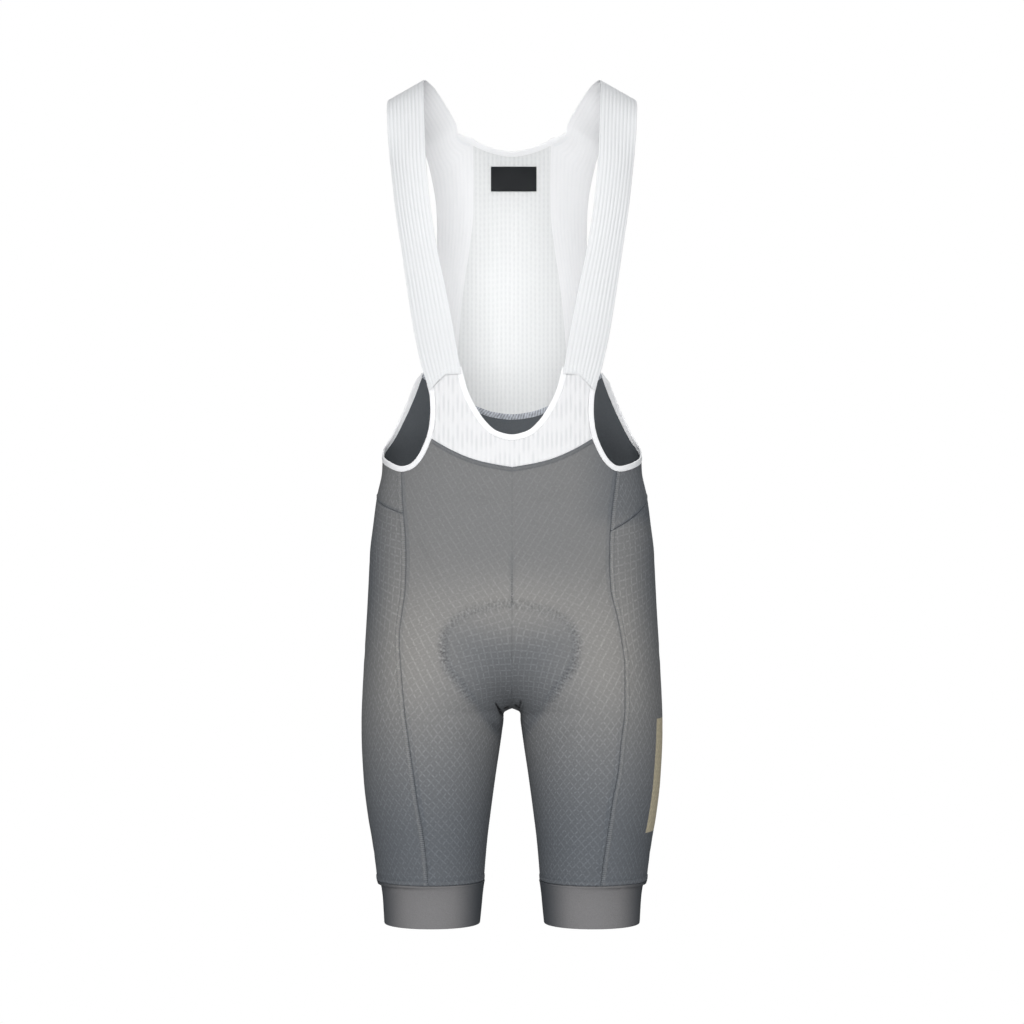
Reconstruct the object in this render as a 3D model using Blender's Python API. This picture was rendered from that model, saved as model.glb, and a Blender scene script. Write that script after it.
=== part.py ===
"""Cycling bib shorts: thigh-length stretch-knit shorts held up by two shoulder straps and a mesh back panel.

The garment is modelled hollow, in the filled-out form that it has when worn. The frame is in metres with +Z
up: the front faces -Y and the wearer's left side is +X. The origin lies midway between the tops of the two
shoulder straps, where the wearer's shoulders carry the garment. Tables and sizes below are in millimetres.

One closed form, the skin, gives the outer face of all the cloth. Each cut piece is a grid of points between
its seam lines on that skin, thickened into a wall, and drawn in a little at its edges so that sewn
neighbours don't touch.
"""

import bmesh
import bpy
import numpy as np

# Driving sizes, in millimetres.
CLOTH = 1.5  # thickness of a cloth wall
SEAM_GAP = 0.4  # space left between two pieces that are sewn together
BINDING_WIDTH = 6.0
BINDING_OUT = 0.5  # how far a folded binding stands out from the cloth on each side
BINDING_ROUND = 0.8  # how far its folded edge is rounded off
STRAP_LIFT = 2.8  # the strap's front end lies on top of the bib and its bindings
CUFF_SEAM_Z, CUFF_SHOULDER_Z, CUFF_MIDDLE_Z, HEM_Z = -903.5, -906.5, -928.0, -952.0
LABEL_WIDTH, LABEL_HEIGHT, LABEL_THICKNESS = 53.0, 28.0, 1.0
LABEL_CENTRE_X, LABEL_TOP_Z = 2.0, -89.0
PAD_CLEARANCE = 2.5  # between the cloth and the pad inside it
PAD_EDGE, PAD_MIDDLE = 2.0, 8.0  # thickness of the pad

LEFT, RIGHT = 1, -1  # the wearer's sides, as the sign of x
FRONT, SIDE, BACK = -1, 0, 1  # where a seam point lies on the skin

# The skin by height. Outer and inner are how far a leg's section reaches from the centre line; a negative
# inner reach means that the two sides overlap and make one trunk. Front and back are y. Square is the
# exponent of the superellipse, and blend is how softly the two sides run into each other.
BODY_COLUMNS = ("z", "outer", "inner", "front", "back", "square", "blend")
BODY = (
    (-40, 148, -148, -72, 62, 2.3, 0),
    (-75, 152, -152, -84, 81, 2.3, 0),
    (-110, 158, -158, -99, 93, 2.3, 0),
    (-150, 162, -162, -112, 101, 2.3, 0),
    (-200, 165, -165, -121, 105, 2.3, 0),
    (-260, 161, -161, -122, 98, 2.3, 0),
    (-330, 152, -152, -116, 85, 2.35, 0),
    (-400, 145, -145, -110, 77, 2.4, 0),
    (-442, 146, -146, -108, 79, 2.4, 0),
    (-472, 152, -152, -108, 84, 2.4, 0),
    (-501, 156, -156, -109, 92, 2.4, 0),
    (-543, 160.5, -160.5, -110, 105, 2.4, 0),
    (-570, 162, -150, -110, 112, 2.37, 2),
    (-600, 163.7, -116, -108.5, 116, 2.33, 8),
    (-630, 165.5, -76, -107, 115.5, 2.28, 17),
    (-655, 167, -45, -105, 112.5, 2.23, 26),
    (-675, 168, -22.5, -103.3, 108, 2.19, 32),
    (-688, 168.7, -9, -102, 104.5, 2.165, 35),
    (-698, 169.1, 0, -101, 101.3, 2.15, 36.3),
    (-705, 169.4, 5.4, -100.3, 99, 2.14, 36.8),
    (-711, 169.6, 9.2, -99.6, 97, 2.13, 36.8),
    (-715, 169.7, 9.6, -99.2, 95.8, 2.125, 27),
    (-722, 169.8, 9.5, -98.5, 93.8, 2.12, 14),
    (-735, 169.8, 11, -97, 91, 2.11, 6),
    (-787, 167.5, 18.6, -92, 82, 2.1, 2),
    (-831, 162.5, 24.5, -86, 75, 2.1, 2),
    (-857, 158, 27.7, -82, 71, 2.1, 2),
    (-895, 152.8, 31, -76, 65, 2.1, 2),
    (-903.5, 152, 31.6, -75, 64, 2.1, 2),
    (-906, 147.5, 32.2, -73, 62, 2.1, 2),
    (-920, 146, 33, -71, 60.5, 2.1, 2),
    (-952, 144, 36, -69, 58.5, 2.1, 2),
)

# The seam from the armhole down the front of each hip and thigh: how far it lies from the centre line.
SIDE_SEAM_COLUMNS = ("z", "left", "right")
SIDE_SEAM = (
    (-444, 116.5, 123.0),
    (-470, 113.0, 122.0),
    (-491, 110.5, 120.5),
    (-519, 108.5, 118.0),
    (-545, 108.0, 117.5),
    (-574, 109.5, 118.5),
    (-600, 115.5, 122.0),
    (-628, 121.0, 125.0),
    (-662, 125.0, 123.0),
    (-690, 125.0, 120.5),
    (-706, 125.0, 119.0),
    (-740, 121.0, 114.5),
    (-775, 117.5, 109.5),
    (-810, 111.0, 104.5),
    (-845, 106.0, 98.5),
    (-880, 101.0, 94.5),
    (-903.5, 98.5, 93.0),
    (-952, 96.0, 91.0),
)

# The seam below the hips, from the side-front seam round to the centre back: its height at the front end on
# each side, at the side of the hip, halfway round the back and at the centre back.
HIP_SEAM_FRONT = {LEFT: -510.0, RIGHT: -491.0}
HIP_SEAM_SIDE, HIP_SEAM_HALFWAY, HIP_SEAM_BACK = -472.0, -465.0, -468.0

# The seam between bib and shorts, and the edge of the cloth round the armhole, from the bib's top corner down
# the front, round the side and up the back to the white back panel. Points are (x, z).
BIB_SEAM = ((0, -439.8), (24.5, -435.6), (44, -430.5), (66.5, -421), (88.5, -408.5))
BIB_SIDE = ((88.5, -408.5), (85.3, -394), (84.0, -377), (84.8, -361), (88, -347))
ARMHOLE_FRONT = ((88.5, -408.5), (93.5, -422), (101, -434), (109, -441.5))
ARMHOLE_REAR = (
    # x, z, place
    (134.5, -439.5, FRONT),
    (144, -428, SIDE),
    (136.5, -410, BACK),
    (127, -391, BACK),
    (119, -374, BACK),
    (112.5, -358.5, BACK),
    (107, -344, BACK),
    (102.5, -330, BACK),
)
SIDE_SEAM_TOP_Z = -445.0
ARMHOLE_MIDDLE = (125.0, 10.0, -380.0)

# The seam between the white back panel and the shorts, and the necklines, as (x, z) points from the centre.
BACK_SEAM = ((0, -377.8), (20, -375.5), (40, -369), (66, -354.5), (85, -341.5), (102.5, -330))
NECK_FRONT = ((0, -410.3), (18.5, -406), (34.5, -392.5), (46.5, -374), (55, -355), (61, -331))
NECK_BACK = ((0, -78.4), (22.5, -74.5), (45, -66.5))

# The inner edge of the back strap.
BAND_INNER = (
    # z, x
    (-66.5, 45),
    (-100, 44.5),
    (-140, 45),
    (-190, 50.5),
    (-216, 54.5),
    (-266, 60),
    (-300, 62.5),
    (-354.5, 66),
)

# The straps, from the front end over the shoulder and down the back: a row for each line across a strap, from
# its inner to its outer edge. Y is None where the strap lies on the skin.
STRAP = (
    # inner x, y, z and outer x, y, z
    (55.5, None, -337.5, 89.5, None, -355.5),
    (58.5, None, -318, 98, None, -330),
    (64, None, -286, 106.5, None, -292),
    (72.8, None, -241, 114, None, -247),
    (83, None, -194, 121.5, None, -198),
    (90, None, -150, 128.5, None, -154),
    (95, None, -102, 134.5, None, -106),
    (97.3, -62, -59, 138.5, -44, -70),
    (98.8, -42, -28, 140.2, -30, -45),
    (100, -18, -8, 140.8, -12, -29),
    (98.5, 5, 0, 138, 8, -22.5),
    (88, 27, -7, 126.5, 26, -31),
    (74.5, 46, -26, 112, 42, -52),
    (64.5, None, -42.5, 102.5, None, -70),
    (61.8, None, -54.5, 97.5, None, -84),
    (54, None, -61.5, 94, None, -98),
    (45, None, -66.5, 91.5, None, -110),
    (45, None, -95, 88.5, None, -128),
    (45, None, -140, 87, None, -150),
    (50.5, None, -190, 86.8, None, -194),
    (58.4, None, -248, 89.5, None, -246),
    (62.5, None, -300, 97, None, -288),
    (66, None, -354.5, 102.5, None, -330),
)

NAPE_ROWS = (14, 16)  # the rows above whose inner edge the binding of the back neckline covers
LIFTED_ROWS = 8  # the rows over which the strap comes down from the bib on to the skin

# The height of the strap's front end, by the share of its width: straight, then cut down to the outer edge.
STRAP_END = ((0, -337.5), (0.45, -338), (0.75, -346), (1, -355.5))

# The pad inside the crotch, from its front end to its back end.
PAD_FRONT_Z, PAD_BACK_Z = -590.0, -640.0
PAD = (
    # share of the length, half width
    (0, 14),
    (0.025, 46),
    (0.06, 67),
    (0.12, 78),
    (0.2, 78),
    (0.28, 66),
    (0.4, 52),
    (0.55, 47),
    (0.7, 56),
    (0.85, 68),
    (0.94, 62),
    (0.98, 46),
    (1, 16),
)
PAD_ENDS = (0, 0.012, 0.03)  # the first rows, as shares of the length; the last ones mirror them
PAD_FULL = 0.1  # the share of the length over which each end thickens

# How finely the pieces are divided. Columns run round the body, and rows and levels across its height.
RING_SAMPLES = 361
FRONT_COLUMNS, ARMHOLE_FRONT_COLUMNS, REAR_COLUMNS = 9, 4, 20
NEAR_CENTRE_BACK = (1.972, 1.988)  # extra columns beside the centre back and the inseam
FRONT_ROWS, HIP_ROWS, YOKE_ROWS = 5, 3, 5
HIP_LEVELS = (-560.0, -590.0, -620.0)
CROTCH_RISE, CROTCH_STEPS = 60.0, 8
BELOW_CROTCH = (2.0, 6.0, 15.0, 35.0)
LEVELS_TO_CUFF = (-773.0, -805.0, -838.0, -871.0, CUFF_SEAM_Z)
BIB_SIDE_ROWS, BIB_COLUMNS = 5, 4
PANEL_ROWS, PANEL_COLUMNS = 20, 12
STRAP_COLUMNS, ROWS_PER_STRAP_ROW = 4, 2
LABEL_ROWS, LABEL_COLUMNS = 3, 6
PAD_ROWS, PAD_COLUMNS, PAD_STRIDES = 23, 6, 6
CROTCH_SAMPLES = 60
SETTLING_TURNS = 4  # how often a point that depends on its own place is worked out again
SHARP_ANGLE = 0.9  # radians

COLOURS = {  # linear base colour and roughness of each material
    "grey_knit": ((0.125, 0.125, 0.122), 0.72),
    "grey_band": ((0.155, 0.150, 0.145), 0.60),
    "white_mesh": ((0.78, 0.79, 0.80), 0.75),
    "white_elastic": ((0.82, 0.83, 0.84), 0.65),
    "black_label": ((0.008, 0.009, 0.012), 0.60),
    "pad_foam": ((0.10, 0.10, 0.105), 0.85),
}


def smooth(xs, ys, at):
    """A smooth curve through the points (xs, ys) with xs rising, which never swings past them."""
    xs, ys, at = (np.asarray(a, float) for a in (xs, ys, at))
    step = np.diff(xs)
    slope = np.diff(ys) / step
    tangent = np.concatenate([slope[:1], np.zeros(len(xs) - 2), slope[-1:]])
    same_way = slope[:-1] * slope[1:] > 0
    weight_a, weight_b = 2 * step[1:] + step[:-1], step[1:] + 2 * step[:-1]
    safe_a, safe_b = np.where(same_way, slope[:-1], 1.0), np.where(same_way, slope[1:], 1.0)
    mean = (weight_a + weight_b) / (weight_a / safe_a + weight_b / safe_b)
    tangent[1:-1] = np.where(same_way, mean, 0.0)
    i = np.clip(np.searchsorted(xs, at) - 1, 0, len(step) - 1)
    t = np.clip((at - xs[i]) / step[i], 0.0, 1.0)
    rise = ys[i] * (2 * t**3 - 3 * t**2 + 1) + ys[i + 1] * (3 * t**2 - 2 * t**3)
    return rise + step[i] * (tangent[i] * (t**3 - 2 * t**2 + t) + tangent[i + 1] * (t**3 - t**2))


def lengths(points):
    """How far along a line each of its points lies."""
    return np.concatenate([[0], np.cumsum(np.linalg.norm(np.diff(points, axis=0), axis=1))])


def column(table, names, name):
    return [row[names.index(name)] for row in table]


def by_height(table, names, name, z):
    """A column of a table whose rows run from the top down, at height z."""
    return smooth(column(table, names, "z")[::-1], column(table, names, name)[::-1], z)


# The skin.


def section(z):
    """Centre x, centre y, half width, half depth, squareness and blend of a leg's section at height z."""
    outer, inner, front, back, square, blend = (by_height(BODY, BODY_COLUMNS, n, z) for n in BODY_COLUMNS[1:])
    return (outer + inner) / 2, (front + back) / 2, (outer - inner) / 2, (back - front) / 2, square, blend


def skin(x, y, z, cut=None):
    """About how far a point is outside the skin, in millimetres; negative inside."""
    cx, cy, width, depth, square, blend = section(z) if cut is None else cut

    def leg(x):
        dx, dy = x - cx, y - cy
        share = (np.abs(dx / width) ** square + np.abs(dy / depth) ** square) ** (1 / square)
        return np.hypot(dx, dy) * (1 - 1 / np.maximum(share, 1e-9))

    left, right = leg(x), leg(-x)
    near = np.maximum(blend - np.abs(left - right), 0)
    return np.minimum(left, right) - near**2 / (4 * np.maximum(blend, 1e-6))


def root(value, inside, outside, halvings=40):
    """Where value turns from negative at inside to positive at outside."""
    inside, outside = np.asarray(inside, float), np.asarray(outside, float)
    for _ in range(halvings):
        middle = (inside + outside) / 2
        within = value(middle) < 0
        inside, outside = np.where(within, middle, inside), np.where(within, outside, middle)
    return (inside + outside) / 2


def normals(points, step=0.4):
    """The skin's outward direction at points on it, from its change over a short step each way."""
    gradient = []
    for axis in np.eye(3) * step:
        ahead, behind = points + axis, points - axis
        gradient.append(skin(*np.moveaxis(ahead, -1, 0)) - skin(*np.moveaxis(behind, -1, 0)))
    gradient = np.stack(gradient, axis=-1)
    return gradient / np.linalg.norm(gradient, axis=-1, keepdims=True)


def front_or_back(x, z, place):
    """The point of the skin at x and z on the trunk's front or back."""
    x, z = np.broadcast_arrays(np.asarray(x, float), np.asarray(z, float))
    middle, reach = section(z)[1], 200.0
    y = root(lambda y: skin(x, y, z), middle, middle + place * reach)
    return np.stack([x, y, z], axis=-1)


CROTCH_Z = float(root(lambda z: -skin(0.0, section(z)[1], z), -730.0, -690.0))
RINGS = {}


def ring(z):
    """One side's section at height z, from the centre front or inseam round the outside to the centre back.

    Returns the points, the length along them, and the index of the outermost point.
    """
    key = round(float(z), 4)
    if key in RINGS:
        return RINGS[key]
    cut = section(key)
    cx, cy, width, depth = cut[:4]
    start, end = -np.pi, np.pi
    if key > CROTCH_Z + 1e-3:
        ends = root(lambda y: skin(0.0, y, key, cut), [cy, cy], [cy - 2 * depth, cy + 2 * depth])
        start, end = np.arctan2(ends - cy, -cx)
    angle = np.linspace(start, end, RING_SAMPLES)
    ray_x, ray_y = np.cos(angle), np.sin(angle)
    # Rays stay on their own side of the centre line.
    furthest = np.where(ray_x < 0, cx / np.maximum(-ray_x, 1e-9), width + depth)
    furthest = np.minimum(furthest + 1e-3, width + depth)
    reach = root(lambda r: skin(cx + r * ray_x, cy + r * ray_y, key, cut), 0 * angle + 0.01, furthest)
    points = np.stack([cx + reach * ray_x, cy + reach * ray_y, np.full(RING_SAMPLES, key)], axis=-1)
    RINGS[key] = points, lengths(points), int(np.argmax(points[:, 0]))
    return RINGS[key]


def seam_length(side, z):
    """How far along the ring the side-front seam lies."""
    points, length, outermost = ring(z)
    x = by_height(SIDE_SEAM, SIDE_SEAM_COLUMNS, "left" if side == LEFT else "right", z)
    return float(np.interp(x, points[: outermost + 1, 0], length[: outermost + 1]))


def on_skin(side, u, z):
    """The point at u round one side: 0 is the centre front or inseam, 1 the side seam, 2 the centre back."""
    points, length, _ = ring(z)
    seam = seam_length(side, z)
    along = u * seam if u <= 1 else seam + (u - 1) * (length[-1] - seam)
    x, y = (np.interp(along, length, points[:, k]) for k in (0, 1))
    return np.array([side * x, y, z])


def round_at(side, x, z, place):
    """The u of the point at x and z on the front, the outermost side or the back."""
    points, length, outermost = ring(z)
    seam = seam_length(side, z)
    if place == SIDE:
        along = length[outermost]
    elif place == FRONT:
        along = np.interp(x, points[: outermost + 1, 0], length[: outermost + 1])
    else:
        along = np.interp(-x, -points[outermost:, 0], length[outermost:])
    return along / seam if along <= seam else 1 + (along - seam) / (length[-1] - seam)


# Walls.


def drawn_in(grid, edges):
    """The grid with each named edge moved towards its neighbours by half the seam gap."""
    grid = grid.copy()
    pairs = {
        "first_row": (grid[0], grid[1].copy()),
        "last_row": (grid[-1], grid[-2].copy()),
        "first_column": (grid[:, 0], grid[:, 1].copy()),
        "last_column": (grid[:, -1], grid[:, -2].copy()),
    }
    for name in edges:
        edge, neighbour = pairs[name]
        way = neighbour - edge
        edge += way / np.linalg.norm(way, axis=-1, keepdims=True) * SEAM_GAP / 2
    return grid


def falling_diagonals(grid, spans):
    """For each cell of a grid, whether the diagonal from its first corner lies nearer the skin."""
    ahead = np.roll(grid, -1, axis=1)
    first = (grid[:-1] + ahead[1:])[:, :spans] / 2
    second = (ahead[:-1] + grid[1:])[:, :spans] / 2
    return np.abs(skin(*np.moveaxis(first, -1, 0))) <= np.abs(skin(*np.moveaxis(second, -1, 0)))


def solid(name, vertices, faces, material):
    """A named object of one closed mesh, from points in millimetres."""
    mesh = bpy.data.meshes.new(name)
    mesh.from_pydata([tuple(v * 0.001) for v in vertices], [], faces)
    shape = bmesh.new()
    shape.from_mesh(mesh)
    bmesh.ops.recalc_face_normals(shape, faces=shape.faces)
    shape.to_mesh(mesh)
    shape.free()
    mesh.shade_smooth()
    mesh.set_sharp_from_angle(angle=SHARP_ANGLE)
    mesh.materials.append(material)
    thing = bpy.data.objects.new(name, mesh)
    bpy.context.collection.objects.link(thing)
    return thing


def wall(name, grid, material, out=0.0, thick=CLOTH, edges=None, tube=False, facing=None):
    """A cloth wall over a grid of points. Its outer face lies out from the grid, its inner face thick below.

    On a tube the last column joins the first. Thick may also be a grid of thicknesses.
    """
    facing = normals(grid) if facing is None else facing
    if edges is None:
        edges = ("first_row", "last_row") + (() if tube else ("first_column", "last_column"))
    grid = drawn_in(grid, edges)
    rows, columns = grid.shape[:2]
    spans = columns if tube else columns - 1
    falls = falling_diagonals(grid, spans)
    out, thick = (np.broadcast_to(np.asarray(a, float), (rows, columns))[..., None] for a in (out, thick))
    outer, inner = grid + facing * out, grid + facing * (out - thick)
    vertices = np.concatenate([outer.reshape(-1, 3), inner.reshape(-1, 3)])
    count = rows * columns
    faces = []
    for r in range(rows - 1):
        for c in range(spans):
            d = (c + 1) % columns
            a, b, e, f = r * columns + c, r * columns + d, (r + 1) * columns + d, (r + 1) * columns + c
            halves = ((a, b, e), (a, e, f)) if falls[r, c] else ((a, b, f), (b, e, f))
            for half in halves:
                faces += [half, tuple(k + count for k in half[::-1])]
    rim = [(r * columns + c, r * columns + (c + 1) % columns) for r in (0, rows - 1) for c in range(spans)]
    if not tube:
        rim += [(r * columns + c, (r + 1) * columns + c) for c in (0, columns - 1) for r in range(rows - 1)]
    faces += [(a, b, b + count, a + count) for a, b in rim]
    return solid(name, vertices, faces, material)


def binding(name, path, facing, opening, material):
    """A folded binding along an edge of the cloth, on the side where the opening lies.

    Path and facing are points and skin directions along the cloth's edge. Opening points roughly out of the
    cloth.
    """
    along = np.gradient(path, axis=0)
    out_of_cloth = np.cross(along, facing)
    out_of_cloth /= np.linalg.norm(out_of_cloth, axis=1, keepdims=True)
    out_of_cloth *= np.sign(np.sum(out_of_cloth * opening, axis=1, keepdims=True))
    near, far = SEAM_GAP, SEAM_GAP + BINDING_WIDTH
    over, under = BINDING_OUT, -CLOTH - BINDING_OUT
    folded = ((far - BINDING_ROUND, over), (far, over - BINDING_ROUND))
    folded += ((far, under + BINDING_ROUND), (far - BINDING_ROUND, under))
    profile = ((near, under), (near, over), *folded)
    count = len(profile)
    vertices = np.stack([path + out_of_cloth * a + facing * b for a, b in profile], axis=1).reshape(-1, 3)
    faces = [tuple(range(count)), tuple((len(path) - 1) * count + k for k in range(count))]
    for i in range(len(path) - 1):
        for k in range(count):
            m = (k + 1) % count
            faces.append((i * count + k, i * count + m, (i + 1) * count + m, (i + 1) * count + k))
    return solid(name, vertices, faces, material)


# The cut pieces.


def shares(count, power=1.0):
    return (np.arange(count + 1) / count) ** power


def crossing(side, line):
    """A seam line of (x, z) points on the front as rising (u, z) points."""
    return [(round_at(side, x, z, FRONT), z) for x, z in line]


def rows_down(tops, bottom, count):
    """Heights of count rows from each column's top to a bottom height, both ends included."""
    share = shares(count)[:, None]
    return tops[None, :] * (1 - share) + np.asarray(bottom) * share


def grid_at(side, columns, heights):
    return np.array([[on_skin(side, u, z) for u, z in zip(columns, row)] for row in heights])


def leg_levels():
    """The heights of the rows below the hips, closer together at the crotch."""
    above = CROTCH_Z + CROTCH_RISE * (1 - shares(CROTCH_STEPS)) ** 2
    below = [CROTCH_Z - drop for drop in BELOW_CROTCH]
    return [*HIP_LEVELS, *above, *below, *LEVELS_TO_CUFF]


def front_columns(side):
    """The u of each column of a front panel, closer together at the crotch, with one at the bib's corner."""
    corner = round_at(side, *BIB_SEAM[-1], FRONT)
    inner = corner * shares(FRONT_COLUMNS, 1.4)
    return np.concatenate([inner, corner + (1 - corner) * shares(ARMHOLE_FRONT_COLUMNS)[1:]])


def rear_columns():
    """The u of each column round the back, closer together at the centre back and inseam."""
    return np.concatenate([1 + shares(REAR_COLUMNS)[:-1], NEAR_CENTRE_BACK, [2.0]])


def front_panel(side):
    """The front from bib and armhole down to the cuff, from the centre front or inseam to the side seam."""
    columns = front_columns(side)
    bib = crossing(side, BIB_SEAM)
    arm = crossing(side, ARMHOLE_FRONT) + [(1.0, SIDE_SEAM_TOP_Z)]
    tops = np.where(columns <= bib[-1][0], smooth(*zip(*bib), columns), smooth(*zip(*arm), columns))
    levels = leg_levels()
    upper = rows_down(tops, levels[0], FRONT_ROWS)
    lower = np.repeat(np.array(levels[1:])[:, None], len(columns), axis=1)
    return grid_at(side, columns, np.concatenate([upper, lower]))


def hip_seam(side, columns):
    """The height of the seam below the hips at each column."""
    beside = round_at(side, 0, HIP_SEAM_SIDE, SIDE)
    halfway = (beside + 2) / 2
    heights = (HIP_SEAM_FRONT[side], HIP_SEAM_SIDE, HIP_SEAM_HALFWAY, HIP_SEAM_BACK)
    return smooth((1.0, beside, halfway, 2.0), heights, columns)


def rear_panel(side):
    """The back of a leg from hip seam to cuff, from the side seam round to the centre back or inseam."""
    columns = rear_columns()
    levels = leg_levels()
    upper = rows_down(hip_seam(side, columns), levels[0], HIP_ROWS)
    lower = np.repeat(np.array(levels[1:])[:, None], len(columns), axis=1)
    return grid_at(side, columns, np.concatenate([upper, lower]))


def yoke_half(side):
    """One side of the yoke, from side seam to centre back, and its column at the strap's outer edge."""
    columns = rear_columns()
    armhole = [(1.0, SIDE_SEAM_TOP_Z)] + [(round_at(side, x, z, place), z) for x, z, place in ARMHOLE_REAR]
    seam = [(round_at(side, x, z, BACK), z) for x, z in BACK_SEAM[::-1]]
    corner = armhole[-1][0]
    columns = np.where(np.abs(columns - corner) == np.abs(columns - corner).min(), corner, columns)
    tops = np.where(columns <= corner, smooth(*zip(*armhole), columns), smooth(*zip(*seam), columns))
    heights = rows_down(tops, hip_seam(side, columns), YOKE_ROWS)
    return grid_at(side, columns, heights), int(np.argmax(columns == corner))


def cuff(side):
    """The elastic band round the end of a leg, drawn in just below its seam."""
    columns = np.concatenate([front_columns(side)[:-1], rear_columns()[:-1]])
    levels = np.array([CUFF_SEAM_Z, CUFF_SHOULDER_Z, CUFF_MIDDLE_Z, HEM_Z])
    heights = np.repeat(levels[:, None], len(columns), axis=1)
    return grid_at(side, columns, heights)


def along_line(points, spots):
    """A smooth line through (x, z) points, read at shares of its length."""
    points = np.asarray(points, float)
    length = lengths(points)
    return np.stack([smooth(length, points[:, k], spots * length[-1]) for k in (0, 1)], axis=-1)


def bib():
    """The bib from one top corner round under the neckline to the other, a row for each line across it."""
    seam = on_front(front_panel(LEFT))[: FRONT_COLUMNS + 1]
    side = along_line(BIB_SIDE, shares(BIB_SIDE_ROWS)[1:])
    outer = np.concatenate([seam, side])
    reach = lengths(outer)
    neck = along_line(NECK_FRONT, reach / reach[-1])
    across = shares(BIB_COLUMNS)[None, :, None]
    half = neck[:, None] * (1 - across) + outer[:, None] * across
    flat = np.concatenate([half[:0:-1] * (-1, 1), half])
    return front_or_back(flat[..., 0], flat[..., 1], FRONT)


def on_front(grid):
    """The first row of a grid as (x, z) points."""
    return grid[0][:, [0, 2]]


def band_inner(z):
    """How far the back strap's inner edge lies from the centre line at height z."""
    return smooth(*zip(*BAND_INNER[::-1]), z)


def back_panel():
    """The white back panel between the two strap bands, from the neckline down to the shorts."""
    share = np.linspace(-1, 1, PANEL_COLUMNS + 1)
    rows = []
    for t in shares(PANEL_ROWS):
        width = BAND_INNER[0][1]
        for _ in range(SETTLING_TURNS):
            x = share * width
            top, bottom = (smooth(*zip(*line), np.abs(x)) for line in (NECK_BACK, BACK_SEAM))
            z = top * (1 - t) + bottom * t
            width = band_inner(z)
        x = share * width
        rows.append(np.stack([x, z], axis=-1))
    rows = np.array(rows)
    return front_or_back(rows[..., 0], rows[..., 1], BACK)


def strap(side):
    """A strap from its front end over the shoulder and down the back, a row for each line across it."""
    across = shares(STRAP_COLUMNS)
    control, resting = [], []
    for in_x, in_y, in_z, out_x, out_y, out_z in STRAP:
        x, z = in_x + (out_x - in_x) * across, in_z + (out_z - in_z) * across
        z = z if control else smooth(*zip(*STRAP_END), across)
        place = FRONT if len(control) < len(STRAP) / 2 else BACK
        rests = in_y is None
        y = front_or_back(x, z, place)[:, 1] if rests else in_y + (out_y - in_y) * across
        control.append(np.stack([x, y, z], axis=-1))
        resting.append(place if rests else 0)
    control = np.array(control)
    rows, lifts = [], []
    for i in range(len(control) - 1):
        before, a, b, after = (control[min(max(k, 0), len(control) - 1)] for k in (i - 1, i, i + 1, i + 2))
        for t in shares(ROWS_PER_STRAP_ROW)[:-1]:
            way_a, way_b = (b - before) / 2, (after - a) / 2
            row = a * (2 * t**3 - 3 * t**2 + 1) + b * (3 * t**2 - 2 * t**3)
            row = row + way_a * (t**3 - 2 * t**2 + t) + way_b * (t**3 - t**2)
            if resting[i] == resting[i + 1] == BACK and row[0, 2] < BAND_INNER[0][0]:
                inner = band_inner(row[0, 2])
                row[:, 0] = inner + (row[-1, 0] - inner) * across
            if resting[i] and resting[i + 1]:
                row = front_or_back(row[:, 0], row[:, 2], resting[i])
            rows.append(row)
            lifts.append(i + t)
    rows.append(control[-1])
    lifts.append(len(control) - 1)
    lift = STRAP_LIFT * np.clip(1 - np.array(lifts) / LIFTED_ROWS, 0, 1)
    grid = np.array(rows) * (side, 1, 1)
    facing = np.cross(np.gradient(grid, axis=1), np.gradient(grid, axis=0)) * side
    return grid, facing / np.linalg.norm(facing, axis=-1, keepdims=True), lift[:, None]


def crotch_line():
    """The line of the skin from the pad's front end, under the crotch, to its back end, and its shares."""
    fall = shares(CROTCH_SAMPLES) ** 2
    front_z = CROTCH_Z + (PAD_FRONT_Z - CROTCH_Z) * fall[::-1]
    back_z = CROTCH_Z + (PAD_BACK_Z - CROTCH_Z) * fall[1:]
    points = np.concatenate([front_or_back(0.0, front_z, FRONT), front_or_back(0.0, back_z, BACK)])
    return points, lengths(points) / lengths(points)[-1]


def pad():
    """The pad's grid: from each point of the crotch line, steps over the skin to both sides."""
    line, share = crotch_line()
    near_end = np.array(PAD_ENDS)
    first = 2 * near_end[-1]
    stations = np.concatenate([near_end, np.linspace(first, 1 - first, PAD_ROWS), 1 - near_end[::-1]])
    spine = np.stack([np.interp(stations, share, line[:, k]) for k in range(3)], axis=-1)
    along = np.gradient(spine, axis=0)
    along /= np.linalg.norm(along, axis=1, keepdims=True)
    strides = PAD_COLUMNS * PAD_STRIDES
    stride = (smooth(*zip(*PAD), stations) / strides)[:, None]
    here, lane = spine.copy(), [spine.copy()]
    way = np.tile((1.0, 0.0, 0.0), (len(spine), 1))
    for k in range(strides):
        facing = normals(here)
        way = way - facing * np.sum(way * facing, axis=1, keepdims=True)
        way -= along * np.sum(way * along, axis=1, keepdims=True)
        way /= np.linalg.norm(way, axis=1, keepdims=True)
        here = here + way * stride
        for _ in range(SETTLING_TURNS):
            here = here - normals(here) * skin(*here.T)[:, None]
        if k % PAD_STRIDES == PAD_STRIDES - 1:
            lane.append(here.copy())
    half = np.stack(lane, axis=1)
    grid = np.concatenate([half[:, :0:-1] * (-1, 1, 1), half], axis=1)
    over = np.sin(np.pi * np.linspace(0, 1, grid.shape[1]))
    ends = np.clip(np.minimum(stations, 1 - stations) / PAD_FULL, 0, 1)[:, None]
    thick = PAD_EDGE + (PAD_MIDDLE - PAD_EDGE) * np.sqrt(np.abs(over)) * ends
    return grid, thick


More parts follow.
